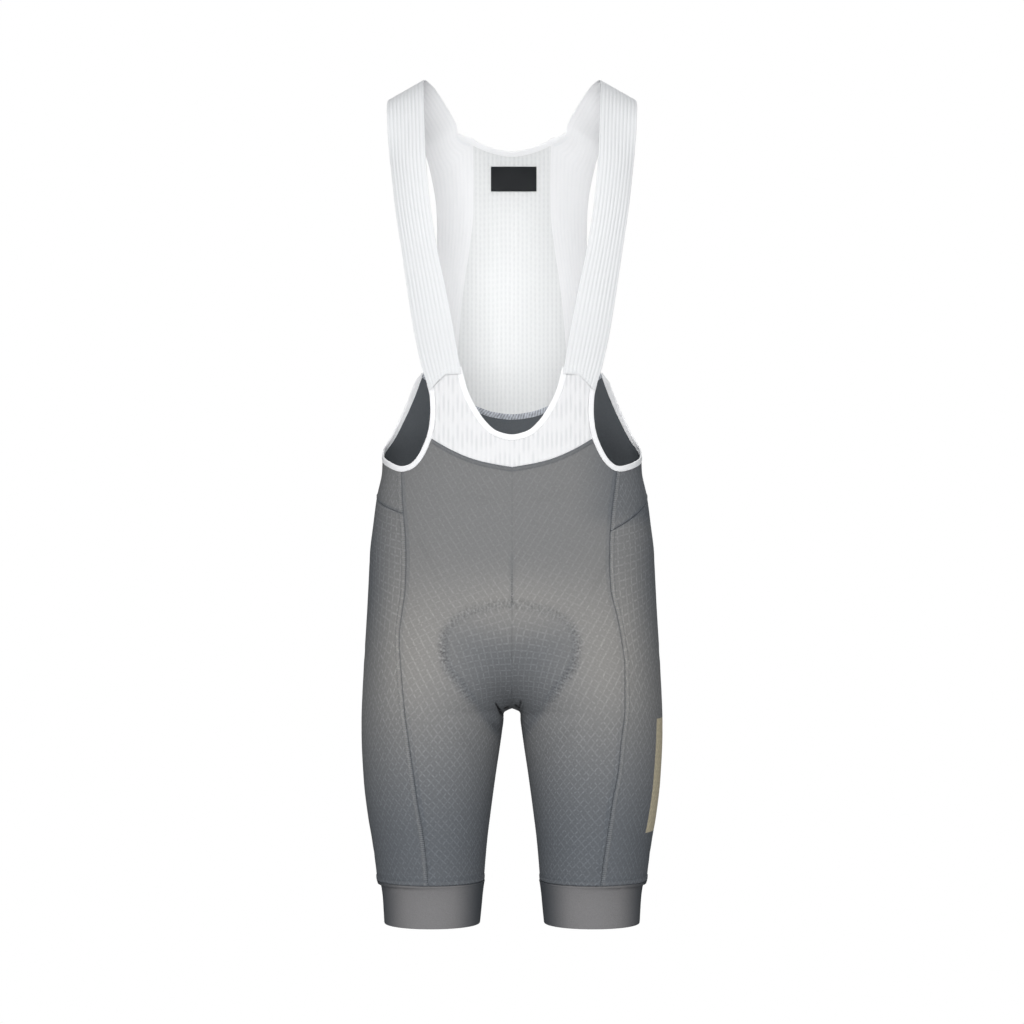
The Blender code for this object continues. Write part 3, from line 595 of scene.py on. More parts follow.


# Soft troughs where the cloth is drawn together; on the leg pieces painted shade lies in them too. Across is
# x on the front and the back, y on the side.
FOLDS = (
    # face, start across and z, end across and z, depth, width
    ("fork", -18.3, -701, -11, -716, 1.5, 1.8),
    ("fork", 9.8, -699, 7.8, -712, 1.1, 1.6),
    ("fork", 13.2, -700, 10.8, -712, 0.7, 1.4),
    ("fork", -10.5, -710.5, -3, -707, 1.0, 1.6),
    ("fork", 3, -704.5, 8, -709, 1.2, 1.8),
    ("front", -31, -716, -14, -733, 0.3, 4.0),
    ("front", 13, -714, 40, -711, 0.3, 3.6),
    ("front", -35, -762, -62, -728, 0.45, 5.0),
    ("front", 38, -760, 66, -727, 0.45, 5.0),
    ("front", -102, -520, -82, -560, 0.4, 5.0),
    ("front", 108, -540, 88, -578, 0.4, 5.0),
    ("front", -62, -470, -20, -479, 0.3, 4.0),
    ("front", 22, -477, 66, -468, 0.3, 4.0),
    ("front", -122, -890, -78, -880, 0.35, 4.0),
    ("front", 58, -893, 112, -884, 0.35, 4.0),
    ("back", -26, -701, -96, -690, 1.3, 6.0),
    ("back", 28, -703, 92, -688, 1.2, 6.5),
    ("back", -34, -722, -84, -717, 0.8, 5.0),
    ("back", 34, -720, 78, -713, 0.7, 5.0),
    ("back", -56, -868, -112, -874, 0.6, 6.0),
    ("back", 54, -872, 108, -866, 0.6, 6.0),
    ("back", -50, -846, -100, -838, 0.45, 5.0),
    ("back", 60, -842, 112, -848, 0.45, 5.0),
    ("back", -56, -420, 48, -426, 0.7, 7.0),
    ("back", -42, -398, 38, -394, 0.45, 5.0),
    ("back", -20, -530, -8, -600, 0.6, 5.0),
    ("side", -42, -640, 34, -656, 0.4, 6.0),
    ("side", -32, -870, 42, -878, 0.4, 5.0),
    ("side", 6, -468, 60, -482, 0.45, 5.0),
)


def fold_relief(points):
    """How far the folds press the cloth in, with a low rise at both sides of each."""
    total = np.zeros(points.shape[:-1])
    x, y, z = np.moveaxis(points, -1, 0)
    faces = {"front": (x, y < -25), "fork": (x, y < 20), "back": (x, y > 25)}
    faces["side"] = (y, np.abs(x) > 105)
    for face, start, start_z, end, end_z, depth, width in FOLDS:
        across, shown = faces[face]
        run = np.array((end - start, end_z - start_z))
        t = ((across - start) * run[0] + (z - start_z) * run[1]) / (run @ run)
        held = np.clip(t, 0, 1)
        waver = 0.25 * width * np.sin(5 * held + start)
        off = np.hypot(across - start - held * run[0], z - start_z - held * run[1]) + waver
        taper = ease(-0.35, 0.35, t) * (1 - ease(0.65, 1.35, t))
        trough = np.exp(-((off / width) ** 2)) - 0.4 * np.exp(-((off / width / 2.2) ** 2))
        total -= shown * taper * depth * trough
    return total


def grain(points, facing, angles, pitches, coarse=(46, 20)):
    """Counts of the knit's raised lines across both of their sets, fitted to their angles and pitches.

    Angles are the directions of both sets in degrees: 0 is outwards round the body and 90 is up. The fit
    is least squares on a coarser grid, spread back to the points.
    """
    rows, columns = points.shape[:2]
    r = np.unique(np.linspace(0, rows - 1, min(coarse[0], rows)).astype(int))
    c = np.unique(np.linspace(0, columns - 1, min(coarse[1], columns)).astype(int))
    down, over = lengths(points[:, columns // 2]), lengths(points[rows // 2])
    grid, out = points[np.ix_(r, c)], facing[np.ix_(r, c)]
    up = unit(np.array((0, 0, 1.0)) - out * out[..., 2:])
    away = unit(square_to(square_to(np.gradient(grid, axis=1), up), out))
    number = np.arange(grid.shape[0] * grid.shape[1]).reshape(grid.shape[:2])
    pairs = [(number[1:], number[:-1]), (number[:, 1:], number[:, :-1])]
    ends, starts = (np.concatenate([p[i].ravel() for p in pairs]) for i in (0, 1))
    spots = grid.reshape(-1, 3)
    edge = spots[ends] - spots[starts]
    weight = 1 / np.maximum(np.linalg.norm(edge, axis=1), 1.0)
    laid = []
    for set_angles, set_pitch in zip(angles, pitches):
        turn = np.radians(set_angles[np.ix_(r, c)])[..., None]
        pitch = np.broadcast_to(set_pitch, points.shape[:2])[np.ix_(r, c)][..., None]
        slope = ((np.cos(turn) * up - np.sin(turn) * away) / pitch).reshape(-1, 3)
        want = np.sum((slope[ends] + slope[starts]) / 2 * edge, axis=1)
        matrix, rhs = np.zeros((len(spots), len(spots))), np.zeros(len(spots))
        for a, b in ((ends, starts), (starts, ends)):
            np.add.at(matrix, (a, a), weight)
            np.add.at(matrix, (a, b), -weight)
        np.add.at(rhs, ends, weight * want)
        np.add.at(rhs, starts, -weight * want)
        matrix[0, 0] += 1.0
        found = np.linalg.solve(matrix, rhs).reshape(grid.shape[:2])
        wide = np.array([smooth(over[c], row, over) for row in found])
        laid.append(np.array([smooth(down[r], wide[:, k], down) for k in range(columns)]).T)
    return np.stack(laid, axis=-1)


# The shorts' cloth is a polyamide and elastane warp knit: matt and soft, with thin raised threads that draw a
# grid of small squares. Stretched, it is paler and warmer; its two tones also carry painted light and shade,
# the darker one as painted shade and the paler one as painted light. Its inner face is plain and darker.
KNIT_RELAXED_SHADED, KNIT_STRETCHED_LIT, KNIT_INSIDE = "#61656a", "#93918e", "#5f6367"
# Grains per metre: the fuzz is 1.5 mm wide, the worn places of the threads 3 mm, the mottle of the painted
# shade near the pad's seam 2.1 mm.
KNIT_FUZZ, KNIT_WEAR, KNIT_MOTTLE = 650.0, 330.0, 480.0


def finished(material, base, roughness, shine, height=None, strength=0.4, bump_mm=0.4):
    """Ends a matt material: its colour, how rough and shiny it is, and the bumps of a height if given."""
    surface = {"Base Color": base, "Roughness": roughness, "Specular IOR Level": shine}
    if height is not None:
        bump = {"Height": height, "Strength": strength, "Distance": bump_mm * 0.001}
        surface["Normal"] = add(material, "Bump", bump).outputs[0]
    shader = add(material, "BsdfPrincipled", surface)
    add(material, "OutputMaterial", {"Surface": shader.outputs[0]})
    return material


def knit(name, relaxed_shaded=KNIT_RELAXED_SHADED, stretched_lit=KNIT_STRETCHED_LIT, grid=True, printed=None):
    """Grey knit: a tone by how taut it is, with painted light and shade in it, raised threads along the
    grain, painted light and shade from gathers, folds and seams, and a mottled painted shade near the pad's
    seam.

    Printed is the middle and half size, in mm, of a plain printed strip: round the leg, and in height.
    """
    material = new_material(name)
    object_space = add(material, "TexCoord").outputs["Object"]
    fuzz = {"Vector": object_space, "Scale": KNIT_FUZZ, "Detail": 2.0}
    fuzz = add(material, "TexNoise", fuzz).outputs["Fac"]
    height = fuzz
    tone = add(material, "Attribute", attribute_name="stretch_and_painted_light").outputs["Fac"]
    colours = {"Factor": tone, 6: paint(relaxed_shaded), 7: paint(stretched_lit)}
    base = add(material, "Mix", colours, data_type="RGBA").outputs[2]
    light = {"Value": fuzz, "From Min": 0.25, "From Max": 0.75, "To Min": 0.91, "To Max": 1.03}
    light = add(material, "MapRange", light).outputs[0]
    if grid:
        laid = add(material, "UVMap", uv_map="grain").outputs[0]
        cell = add(material, "VectorMath", {0: laid}, operation="FRACTION").outputs[0]
        cell = add(material, "VectorMath", {0: cell, 1: (0.5,) * 3}, operation="SUBTRACT").outputs[0]
        cell = add(material, "VectorMath", {0: cell}, operation="ABSOLUTE").outputs[0]
        across = add(material, "SeparateXYZ", {0: cell}).outputs
        clear = add(material, "Attribute", attribute_name="clear").outputs["Fac"]
        worn = {"Vector": object_space, "Scale": KNIT_WEAR, "Detail": 1.0}
        worn = add(material, "TexNoise", worn).outputs["Fac"]
        worn = {"Value": worn, "From Min": 0.36, "From Max": 0.62, "To Min": 0.15, "To Max": 1.1}
        worn = add(material, "MapRange", worn).outputs[0]
        threads = []
        cross = add(material, "Attribute", attribute_name="cross").outputs["Fac"]
        for own, other in ((0, 1), (1, 0)):
            ramp = {"Value": across[own], "From Min": 0.28, "From Max": 0.5}
            thread = add(material, "MapRange", ramp, interpolation_type="SMOOTHSTEP").outputs[0]
            ramp = {"Value": across[own], "From Min": 0.14, "From Max": 0.0, "To Max": 0.2}
            between = add(material, "MapRange", ramp, interpolation_type="SMOOTHSTEP").outputs[0]
            thread = add(material, "Math", {0: thread, 1: between}, operation="MAXIMUM").outputs[0]
            dash = {"Value": across[other], "From Min": 0.5, "From Max": 0.1, "To Min": 0.6}
            dash = add(material, "MapRange", dash).outputs[0]
            threads.append(add(material, "Math", {0: thread, 1: dash}, operation="MULTIPLY").outputs[0])
        second = add(material, "Math", {0: threads[1], 1: cross}, operation="MULTIPLY").outputs[0]
        drawn = add(material, "Math", {0: threads[0], 1: second}, operation="MAXIMUM").outputs[0]
        drawn = add(material, "Math", {0: drawn, 1: worn}, operation="MULTIPLY").outputs[0]
        drawn = add(material, "Math", {0: drawn, 1: clear}, operation="MULTIPLY").outputs[0]
        light = add(material, "Math", {0: drawn, 1: 0.34, 2: light}, operation="MULTIPLY_ADD").outputs[0]
        height = add(material, "Math", {0: drawn, 1: 1.0, 2: fuzz}, operation="MULTIPLY_ADD").outputs[0]
        # painted light and shade from the gathers, folds and seams, then a mottled painted shade near the
        # pad's seam
        painted_light_and_shade = add(material, "Attribute", attribute_name="painted_light_and_shade").outputs["Fac"]
        pinch_and_painted_shade = add(material, "Attribute", attribute_name="pinch_and_painted_shade").outputs["Fac"]
        shade = add(material, "Math", {0: painted_light_and_shade, 1: 0.2, 2: light}, operation="MULTIPLY_ADD").outputs[0]
        mottle = {"Vector": object_space, "Scale": KNIT_MOTTLE, "Detail": 1.0}
        mottle = add(material, "TexNoise", mottle).outputs["Fac"]
        mottle = {"Value": mottle, "From Min": 0.38, "From Max": 0.62, "To Min": -0.19, "To Max": 0.1}
        mottle = add(material, "MapRange", mottle).outputs[0]
        mottled = {0: pinch_and_painted_shade, 1: mottle, 2: shade}
        light = add(material, "Math", mottled, operation="MULTIPLY_ADD").outputs[0]
    if printed:
        sheet = add(material, "UVMap", uv_map="panel").outputs[0]
        sheet = add(material, "SeparateXYZ", {0: sheet}).outputs
        within = [
            add(material, "Math", {0: sheet[k], 1: middle, 2: half}, operation="COMPARE").outputs[0]
            for k, (middle, half) in enumerate(printed)
        ]
        ink = add(material, "Math", {0: within[0], 1: within[1]}, operation="MULTIPLY").outputs[0]
        colours = {"Factor": ink, 6: base, 7: paint(PRINT_TAN)}
        base = add(material, "Mix", colours, data_type="RGBA").outputs[2]
    base = add(material, "HueSaturation", {"Color": base, "Value": light}).outputs[0]
    return finished(material, base, 0.82, 0.22, height, 0.5)


grey_knit = knit("grey_warp_knit")
grey_inside = knit("grey_knit_inside", KNIT_INSIDE, KNIT_INSIDE, grid=False)


def stretch_and_painted_light(points, on_pad=0.0):
    """The knit's tone from 0 to 1: how taut it is, with painted light and shade in it.

    It is palest on the thighs, partly taut knit and partly painted light, and paler above the pad, painted
    light. Painted shade darkens the wearer's left of the yoke and the outermost sides of the hips. Over the
    pad it is darker, unstretched knit with painted shade that grows towards the crotch, and it grows darker
    towards the cuffs.
    """
    x, y, z = np.moveaxis(points, -1, 0)
    out, front = np.abs(x), ease(30, -60, y)
    # paler on the thighs, partly taut knit and partly painted light; above the pad, painted light where the
    # cloth faces a little upwards
    thigh = 0.42 * np.exp(-(((z + 645) / 80) ** 2)) * np.exp(-(((out - 108) / 50) ** 2))
    above_pad = 0.36 * np.exp(-(((z + 590) / 34) ** 2)) * np.exp(-((x / 72) ** 2))
    behind = 0.22 * np.exp(-(((z + 700) / 65) ** 2)) - 0.1 * np.exp(-(((z + 560) / 60) ** 2))
    total = 0.48 + front * (thigh + above_pad) + (1 - front) * behind
    # painted shade: darker on the wearer's left of the yoke, and at the outermost sides of the hips
    total -= 0.28 * ease(60, 125, x) * ease(-510, -488, z)
    total -= 0.38 * ease(125, 162, out) * np.exp(-(((z + 560) / 110) ** 2))
    # darker over the pad: unstretched knit with painted shade growing towards the crotch; darker towards the
    # cuffs
    return np.clip(total - 0.28 * on_pad - 0.46 * ease(-670, -870, z), 0, 1)


def armhole_edge(side):
    """The cloth's edge round the armhole, from the bib's corner to the back strap: rising u and heights.

    Beyond the side seam, where u is over 1, it is counted in the front's widths. Last comes how wide the
    back is in the same widths.
    """
    front_width = side_seam(side, SIDE_SEAM_TOP_Z)
    back_share = (whole(SIDE_SEAM_TOP_Z) - front_width) / front_width
    points = [(round_at(side, x, z, FRONT), z) for x, z in ARMHOLE_FRONT] + [(1.0, SIDE_SEAM_TOP_Z)]
    points += [(1 + (round_at(side, x, z, where) - 1) * back_share, z) for x, z, where in ARMHOLE_REAR]
    u, z = np.array(points).T
    fine = np.linspace(u[0], u[-1], 400)
    return fine, rounded(smooth(u, z, fine), 220), back_share


def front_top(side, u):
    """The height of the front panel's upper edge."""
    bib = [(round_at(side, x, z, FRONT), z) for x, z in BIB_SEAM]
    return np.where(u <= bib[-1][0], smooth(*zip(*bib), u), np.interp(u, *ARMHOLE[side][:2]))


def rows_to_cuff(top, fine_top, fine_bottom, fine_mm, above, below):
    """Heights of a leg piece's rows under each top, finer beside its seams and between two heights."""
    fixed, share = spread(EDGE_MM, above, (0.0,))
    upper = top - fixed[:-1, None] - share[:-1, None] * (top - fine_top)
    middle = np.arange(fine_top, fine_bottom, -fine_mm)
    fixed, share = spread((fine_mm,), below, EDGE_MM)
    lower = middle[-1] - fixed - share * (middle[-1] - CUFF_SEAM_Z)
    rest = np.concatenate([middle, lower])[:, None] + 0 * top
    return np.concatenate([upper, rest])


def leg_piece(name, node, side, along, heights, relief, shade, lines, material=grey_knit):
    """A panel of the shorts from its grid: relief in mm, how much painted shade its seams lay on it, and its
    lines.

    Lines gives the angles and the pitches of the two sets of raised lines, how clearly both show, and how
    clearly the second does.
    """
    points, facing = place(side, along, heights)
    comb, pinch_and_painted_shade, on_pad = puckers(side, points)
    folds = fold_relief(points)
    relief = relief + 0.5 * comb - 0.4 * pinch_and_painted_shade + folds
    outer = points + facing * relief[..., None]
    inner = points - facing * CLOTH_MM + facing * np.minimum(relief, 0)[..., None]
    laid = grain(points, facing, *lines[:2])
    # its tone, with painted shade near the pad's seam and along the seams
    tone = stretch_and_painted_light(points, on_pad) - 0.16 * pinch_and_painted_shade - 0.16 * shade
    out, below = np.abs(points[..., 0]), -points[..., 2]
    # painted light lifts the crotch; painted shade lies in the folds, far darker in the fork's, and at the
    # seams; painted light and shade follow the gathers' height
    fork = np.exp(-((out / 30) ** 2) - ((below - 706) / 26) ** 2)
    drawn = comb + (1.1 + 6.9 * (below > 690) * ease(30, 20, out)) * np.minimum(folds, 0)
    drawn = np.maximum(drawn - 0.15 * shade + 0.4 * fork, -4.5)
    fields = {"stretch_and_painted_light": tone, "painted_light_and_shade": drawn, "pinch_and_painted_shade": pinch_and_painted_shade, "clear": lines[2], "cross": lines[3]}
    maps = {"grain": laid, "panel": np.stack([along - widest(heights), heights], axis=-1)}
    piece = shell(name, outer, inner, (material, grey_inside), maps=maps, fields=fields)
    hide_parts(node)
    return piece


def cuff_hem_shade(d):
    """How much painted shade lies above the cuff: most in a dark line where the seam allowance is sewn down,
    with its band painted a little paler.
    """
    return 0.9 * hem_shade(d, CUFF_HEM_MM, -0.2) + 5.0 * np.exp(-(((d - CUFF_HEM_MM) / 0.7) ** 2))


ARMHOLE = {side: armhole_edge(side) for side, _ in SIDES}
CUFF_HEM_MM = 5.8  # how far above the cuff its seam allowance is sewn down
FRONT_FLAT_MM, FRONT_EVEN_COLUMNS = (215, 480), 118
for side, word in SIDES:
    fixed, share = spread(EDGE_MM[:5], FRONT_EVEN_COLUMNS, EDGE_MM)
    top = np.full(len(fixed), -440.0)
    for _ in range(5):
        u = (fixed + share * side_seam(side, top)) / side_seam(side, top)
        top = front_top(side, u)
    heights = rows_to_cuff(top, fine_top=-582, fine_bottom=-752, fine_mm=1.25, above=24, below=34)
    along = fixed + share * side_seam(side, heights)
    to_side, to_cuff, to_top = side_seam(side, heights) - along, heights - CUFF_SEAM_Z, top - heights
    beside_bib = u <= round_at(side, *BIB_SEAM[-1], FRONT)
    relief = hem_relief(to_side, 0.2) + hem_relief(to_cuff, 0.6, CUFF_HEM_MM)
    relief += edge_relief(along) * (0.45 + 0.55 * ease(-540, -590, heights))
    relief += np.where(beside_bib, hem_relief(to_top, 0.4), edge_relief(to_top))
    shade = hem_shade(to_side, band_shade=0.3 + 0.4 * ease(-660, -600, heights)) + 0.05 * edge_shade(along)
    shade += cuff_hem_shade(to_cuff)
    shade += 0.8 * np.exp(-((along / 3.2) ** 2)) * ease(-520, -550, heights) * ease(-600, -585, heights)
    shade += np.where(beside_bib, hem_shade(to_top), 0)
    # the knit's raised lines: square over the pad, wider apart on the thigh, flatter and clearer down the leg
    on_pad = np.exp(-((along / 64) ** 4)) * ease(-592, -628, heights) * ease(-775, -715, heights)
    leg, knee = ease(-660, -735, heights), ease(-690, -790, heights)
    thigh = np.exp(-(((heights + 635) / 60) ** 2))
    first = 60 - 9 * ease(-560, -640, heights) - 12 * knee
    second = 148 + 7 * ease(-500, -580, heights) - 28 * leg
    angles = (first * (1 - on_pad) + 90 * on_pad, second * (1 - on_pad) + 178 * on_pad)
    closer = leg - knee
    first = 6.8 + 1.3 * thigh * (1 - on_pad) - 0.5 * knee - 0.9 * closer
    second = 7.0 + 0.6 * on_pad - 0.1 * knee - 0.6 * closer
    pitches = (first, second)
    clear = 0.5 + 0.5 * ease(-520, -620, heights) + 0.45 * knee
    clear += 0.25 * on_pad * ease(-615, -660, heights)
    inner = np.exp(-((along / 50) ** 2)) * (leg - 0.6 * knee)
    cross = 0.62 + 0.38 * on_pad + 0.2 * knee + 0.4 * closer + 0.5 * inner
    lines = (angles, pitches, clear - 0.3 * inner, cross)
    name, node = f"front_panel_{word}", f"front_{word}"
    leg_piece(name, node, side, along, heights, relief, shade, lines)

# --------------------------------------------------------------------------------------------------------
# The leg backs. The same knit goes round the outside and the back of each leg, from the seam below the
# hips to the cuff. It is sewn to the fronts at the side-front seam and inseam, and up the centre back.

HIP_SEAM_FRONT = {LEFT: -510.0, RIGHT: -491.0}
HIP_SEAM_SIDE, HIP_SEAM_HALFWAY, HIP_SEAM_BACK = -472.0, -465.0, -468.0
PRINT_TAN = "#c2b89e"
# The middle and the half size, in mm: round the leg from its outermost line, and in height.
PRINT = {LEFT: ((-20, 27), (-783, 63.5)), RIGHT: ((12, 24), (-834, 28))}
NEAR_CENTRE_BACK = (*EDGE_MM[:5], *np.arange(4.0, 80, 1.4))


def hip_seam(side, u):
    """The height of the seam below the hips."""
    beside = round_at(side, 0, HIP_SEAM_SIDE, SIDE)
    heights = (HIP_SEAM_FRONT[side], HIP_SEAM_SIDE, HIP_SEAM_HALFWAY, HIP_SEAM_BACK)
    return smooth((1.0, beside, (beside + 2) / 2, 2.0), heights, u)


for side, word in SIDES:
    fixed, share = spread(EDGE_MM, 46, NEAR_CENTRE_BACK)
    top = np.full(len(fixed), -480.0)
    for _ in range(5):
        width = whole(top) - side_seam(side, top)
        top = hip_seam(side, 1 + (fixed + share * width) / width) - HALF_GAP
    heights = rows_to_cuff(top, fine_top=-634, fine_bottom=-760, fine_mm=1.4, above=30, below=28)
    width = whole(heights) - side_seam(side, heights)
    from_seam = fixed + share * width
    to_centre, to_top, to_cuff = width - from_seam, top - heights, heights - CUFF_SEAM_Z
    relief = edge_relief(from_seam, 0.4) + edge_relief(to_centre) + edge_relief(to_top)
    relief += hem_relief(to_cuff, 0.6, CUFF_HEM_MM)
    # painted shade at the cuff's hem, the hip seam and the seams, with a painted highlight on a ridge beside
    # the side-front seam
    shade = cuff_hem_shade(to_cuff) + edge_shade(to_top)
    shade += 0.5 * edge_shade(from_seam, 2.0)
    shade += 0.5 * edge_shade(to_centre)
    leg = ease(-600, -730, heights)
    lines = ((8 + 42 * leg, 87 + 38 * leg), (7.0 - 0.6 * leg, 8.6 - 2.2 * leg), 1.15, 1.0)
    along = side_seam(side, heights) + from_seam
    cloth = knit(f"printed_knit_{word}", printed=PRINT[side])
    name, node = f"leg_back_cloth_{word}", f"leg_back_{word}"
    leg_piece(name, node, side, along, heights, relief, shade, lines, cloth)

# --------------------------------------------------------------------------------------------------------
# The seat yoke. One piece of the knit above the hip seams, round the back between the side-front seams.
# It is stitched down below, bound at the armholes and sewn to the white back panel.

BACK_SEAM = ((0, -377.8), (20, -375.5), (40, -369), (66, -354.5), (85, -341.5), (102.5, -330))
YOKE_FLAT_MM, HIP_HEM_MM = (520, 150), 3.4


def yoke_top(side):
    """The height of the yoke's upper edge by its u, and the u of its corner at the strap's outer edge."""
    fine, line, back_share = ARMHOLE[side]
    corner = round_at(side, *BACK_SEAM[-1], BACK)
    seam = [(round_at(side, x, z, BACK), z) for x, z in BACK_SEAM[::-1]]
    seam.append((4 - seam[-2][0], seam[-2][1]))

    def height(u):
        armhole = np.interp(1 + (u - 1) * back_share, fine, line)
        return np.where(u <= corner, armhole, smooth(*zip(*seam), u))

    return height, corner


yoke_halves = []
for side, _ in SIDES:
    edge_height, corner = yoke_top(side)
    fixed, share = spread(EDGE_MM, 62, (0.0,))
    top = np.full(len(fixed), -400.0)
    for _ in range(6):
        width = whole(top) - side_seam(side, top)
        u = 1 + (fixed + share * width) / width
        nearest = np.abs(u - corner).argmin()
        u[nearest] = corner
        top = edge_height(u)
    drop, drop_share = spread(EDGE_MM[:6], 20, EDGE_MM)
    tall = top - hip_seam(side, u)
    heights = top - drop[:, None] - drop_share[:, None] * tall
    width = whole(heights) - side_seam(side, heights)
    from_seam = (u - 1) * width
    points, facing = place(side, side_seam(side, heights) + from_seam, heights)
    to_hip = tall - top + heights
    relief = edge_relief(from_seam, 0.4) + edge_relief(top - heights)
    relief = relief + hem_relief(to_hip, 0.4, HIP_HEM_MM) + fold_relief(points)
    # painted shade at the hip seam and beside the side seam, with a painted highlight on a ridge there
    shade = hem_shade(to_hip, HIP_HEM_MM) + 0.5 * edge_shade(from_seam, 2.0)
    angles = (np.full(heights.shape, 55.0), np.full(heights.shape, 125.0))
    laid = grain(points, facing, angles, (6.8, 6.8)) * (side, 1)
    rows = slice(None), slice(None) if side == LEFT else slice(-2, None, -1)
    yoke_halves.append([part[rows] for part in (points, facing, relief, laid, shade)])
points, facing, relief, laid, shade = (np.concatenate(part, axis=1) for part in zip(*yoke_halves))
outer = points + facing * relief[..., None]
inner = points - facing * (CLOTH_MM - np.minimum(relief, 0))[..., None]
# the knit's tone with its painted light and shade, and painted shade at the seams
fields = {"stretch_and_painted_light": stretch_and_painted_light(points) - 0.16 * shade, "painted_light_and_shade": -0.15 * shade, "clear": 1.0, "cross": 1.0}
yoke = shell("seat_yoke", outer, inner, (grey_knit, grey_inside), maps={"grain": laid}, fields=fields)
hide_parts("back_yoke")

# --------------------------------------------------------------------------------------------------------
# The cuffs. Each leg ends in a closed band of a smooth firm elastic knit, sewn on a little tighter than
# the leg, which bulges above it. The band flares a little at its top, and its lower edge is clean cut.

CUFF_MM, CUFF_COLUMNS, CUFF_STRETCH, CUFF_FLAT_MM = 1.2, 150, 1.12, (345, 52)
CUFF_FLARE_MM, CUFF_FLARE_HEIGHT, CUFF_MIDDLE_X = 1.3, 20.0, 92
# its two tones are painted shade and painted light, mixed round each band
cuff_knit = knit("cuff_knit", "#4b4f54", "#807f80", grid=False)
for side, word in SIDES:
    fixed, share = spread(EDGE_MM[:5], 14, (0.3, 0.8, 1.6, 3.0))
    heights = (CUFF_SEAM_Z - fixed - share * (CUFF_SEAM_Z - HEM_Z))[:, None]
    along = np.linspace(0, 1, CUFF_COLUMNS, endpoint=False) * whole(heights)
    heights = heights + 0 * along
    points, facing = place(side, along, heights)
    flare = CUFF_FLARE_MM * (1 - ease(-2, CUFF_FLARE_HEIGHT, CUFF_SEAM_Z - heights))
    relief = flare + edge_relief(CUFF_SEAM_Z - heights) - 0.3 * (1 - ease(0, 1.4, heights - HEM_Z))
    outer, inner = points + facing * relief[..., None], points - facing * CUFF_MM
    off_middle = np.abs(points[..., 0] - side * CUFF_MIDDLE_X)
    # painted light: each band is paler at the front of the leg's middle and darker round its sides and back
    fields = {"stretch_and_painted_light": ease(60, -60, points[..., 1]) * ease(62, 24, off_middle)}
    cuff = shell(f"cuff_band_{word}", outer, inner, (cuff_knit, grey_inside), tube=True, fields=fields)
    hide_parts(f"cuff_{word}")

# --------------------------------------------------------------------------------------------------------
# The bib. A low front of white ribbed knit between the shorts, the neckline and the straps. Its upright
# ribs are broken by short furrows that are staggered from rib to rib.

BIB_SIDE = ((88.5, -408.5), (85.3, -394), (84.0, -377), (84.8, -361), (88, -347))
NECK_FRONT = ((0, -410.3), (18.5, -406), (34.5, -392.5), (46.5, -374), (55, -355), (61, -331))
BIB_RIB_MM, BIB_FLAT_MM, RIB_STRETCH, RIB_FUZZ_MM = 5.2, (190, 125), 1.1, 1.25


def along_line(points, spots):
    """A smooth line through (x, z) points, read at shares of its length."""
    points = np.asarray(points, float)
    run = lengths(points)
    return np.stack([smooth(run, points[:, k], spots * run[-1]) for k in (0, 1)], axis=-1)


def ribbed(name, face, furrow_shade, rib_mm, dash_mm, broken, strength):
    """White ribbed knit: painted shade in the furrows between the ribs, over a fine knit texture.

    Broken is how far the furrows are broken into staggered dashes, from 0 to 1.
    """
    material = new_material(name)
    object_space = add(material, "TexCoord").outputs["Object"]
    fuzz = {"Vector": object_space, "Scale": 1000 / RIB_FUZZ_MM, "Detail": 2.0}
    fuzz = add(material, "TexNoise", fuzz).outputs["Fac"]
    sheet = add(material, "UVMap", uv_map="panel").outputs[0]
    sheet = add(material, "SeparateXYZ", {0: sheet}).outputs
    rib = add(material, "Math", {0: sheet[0], 1: 1 / rib_mm}, operation="MULTIPLY").outputs[0]
    number = add(material, "Math", {0: rib}, operation="FLOOR").outputs[0]
    shift = add(material, "TexWhiteNoise", {"W": number}, noise_dimensions="1D").outputs["Value"]
    off = add(material, "Math", {0: rib, 1: number}, operation="SUBTRACT").outputs[0]
    off = add(material, "Math", {0: off, 1: 0.5}, operation="SUBTRACT").outputs[0]
    off = add(material, "Math", {0: off}, operation="ABSOLUTE").outputs[0]
    valley = {"Value": off, "From Min": 0.4, "From Max": 0.05}
    valley = add(material, "MapRange", valley, interpolation_type="SMOOTHSTEP").outputs[0]
    dash = {0: sheet[1], 1: 1 / dash_mm, 2: shift}
    dash = add(material, "Math", dash, operation="MULTIPLY_ADD").outputs[0]
    dash = add(material, "Math", {0: dash, 1: 1.0}, operation="PINGPONG").outputs[0]
    dash = {"Value": dash, "From Min": 0.3, "From Max": 0.65, "To Min": 1 - broken, "To Max": 1.0}
    dash = add(material, "MapRange", dash).outputs[0]
    dark = add(material, "Math", {0: valley, 1: dash}, operation="MULTIPLY").outputs[0]
    furrow_shading = add(material, "Math", {0: dark, 1: strength}, operation="MULTIPLY").outputs[0]
    colours = {"Factor": furrow_shading, 6: paint(face), 7: paint(furrow_shade)}
    base = add(material, "Mix", colours, data_type="RGBA").outputs[2]
    height = add(material, "Math", {0: dark, 1: -1.2, 2: fuzz}, operation="MULTIPLY_ADD").outputs[0]
    return finished(material, base, 0.75, 0.2, height, 0.45)


def ribs(x, rib_mm, height):
    """The relief of ribs, about 0 on average, with furrows halfway between multiples of the pitch."""
    return height * (np.abs(np.cos(np.pi * x / rib_mm)) - 0.64)


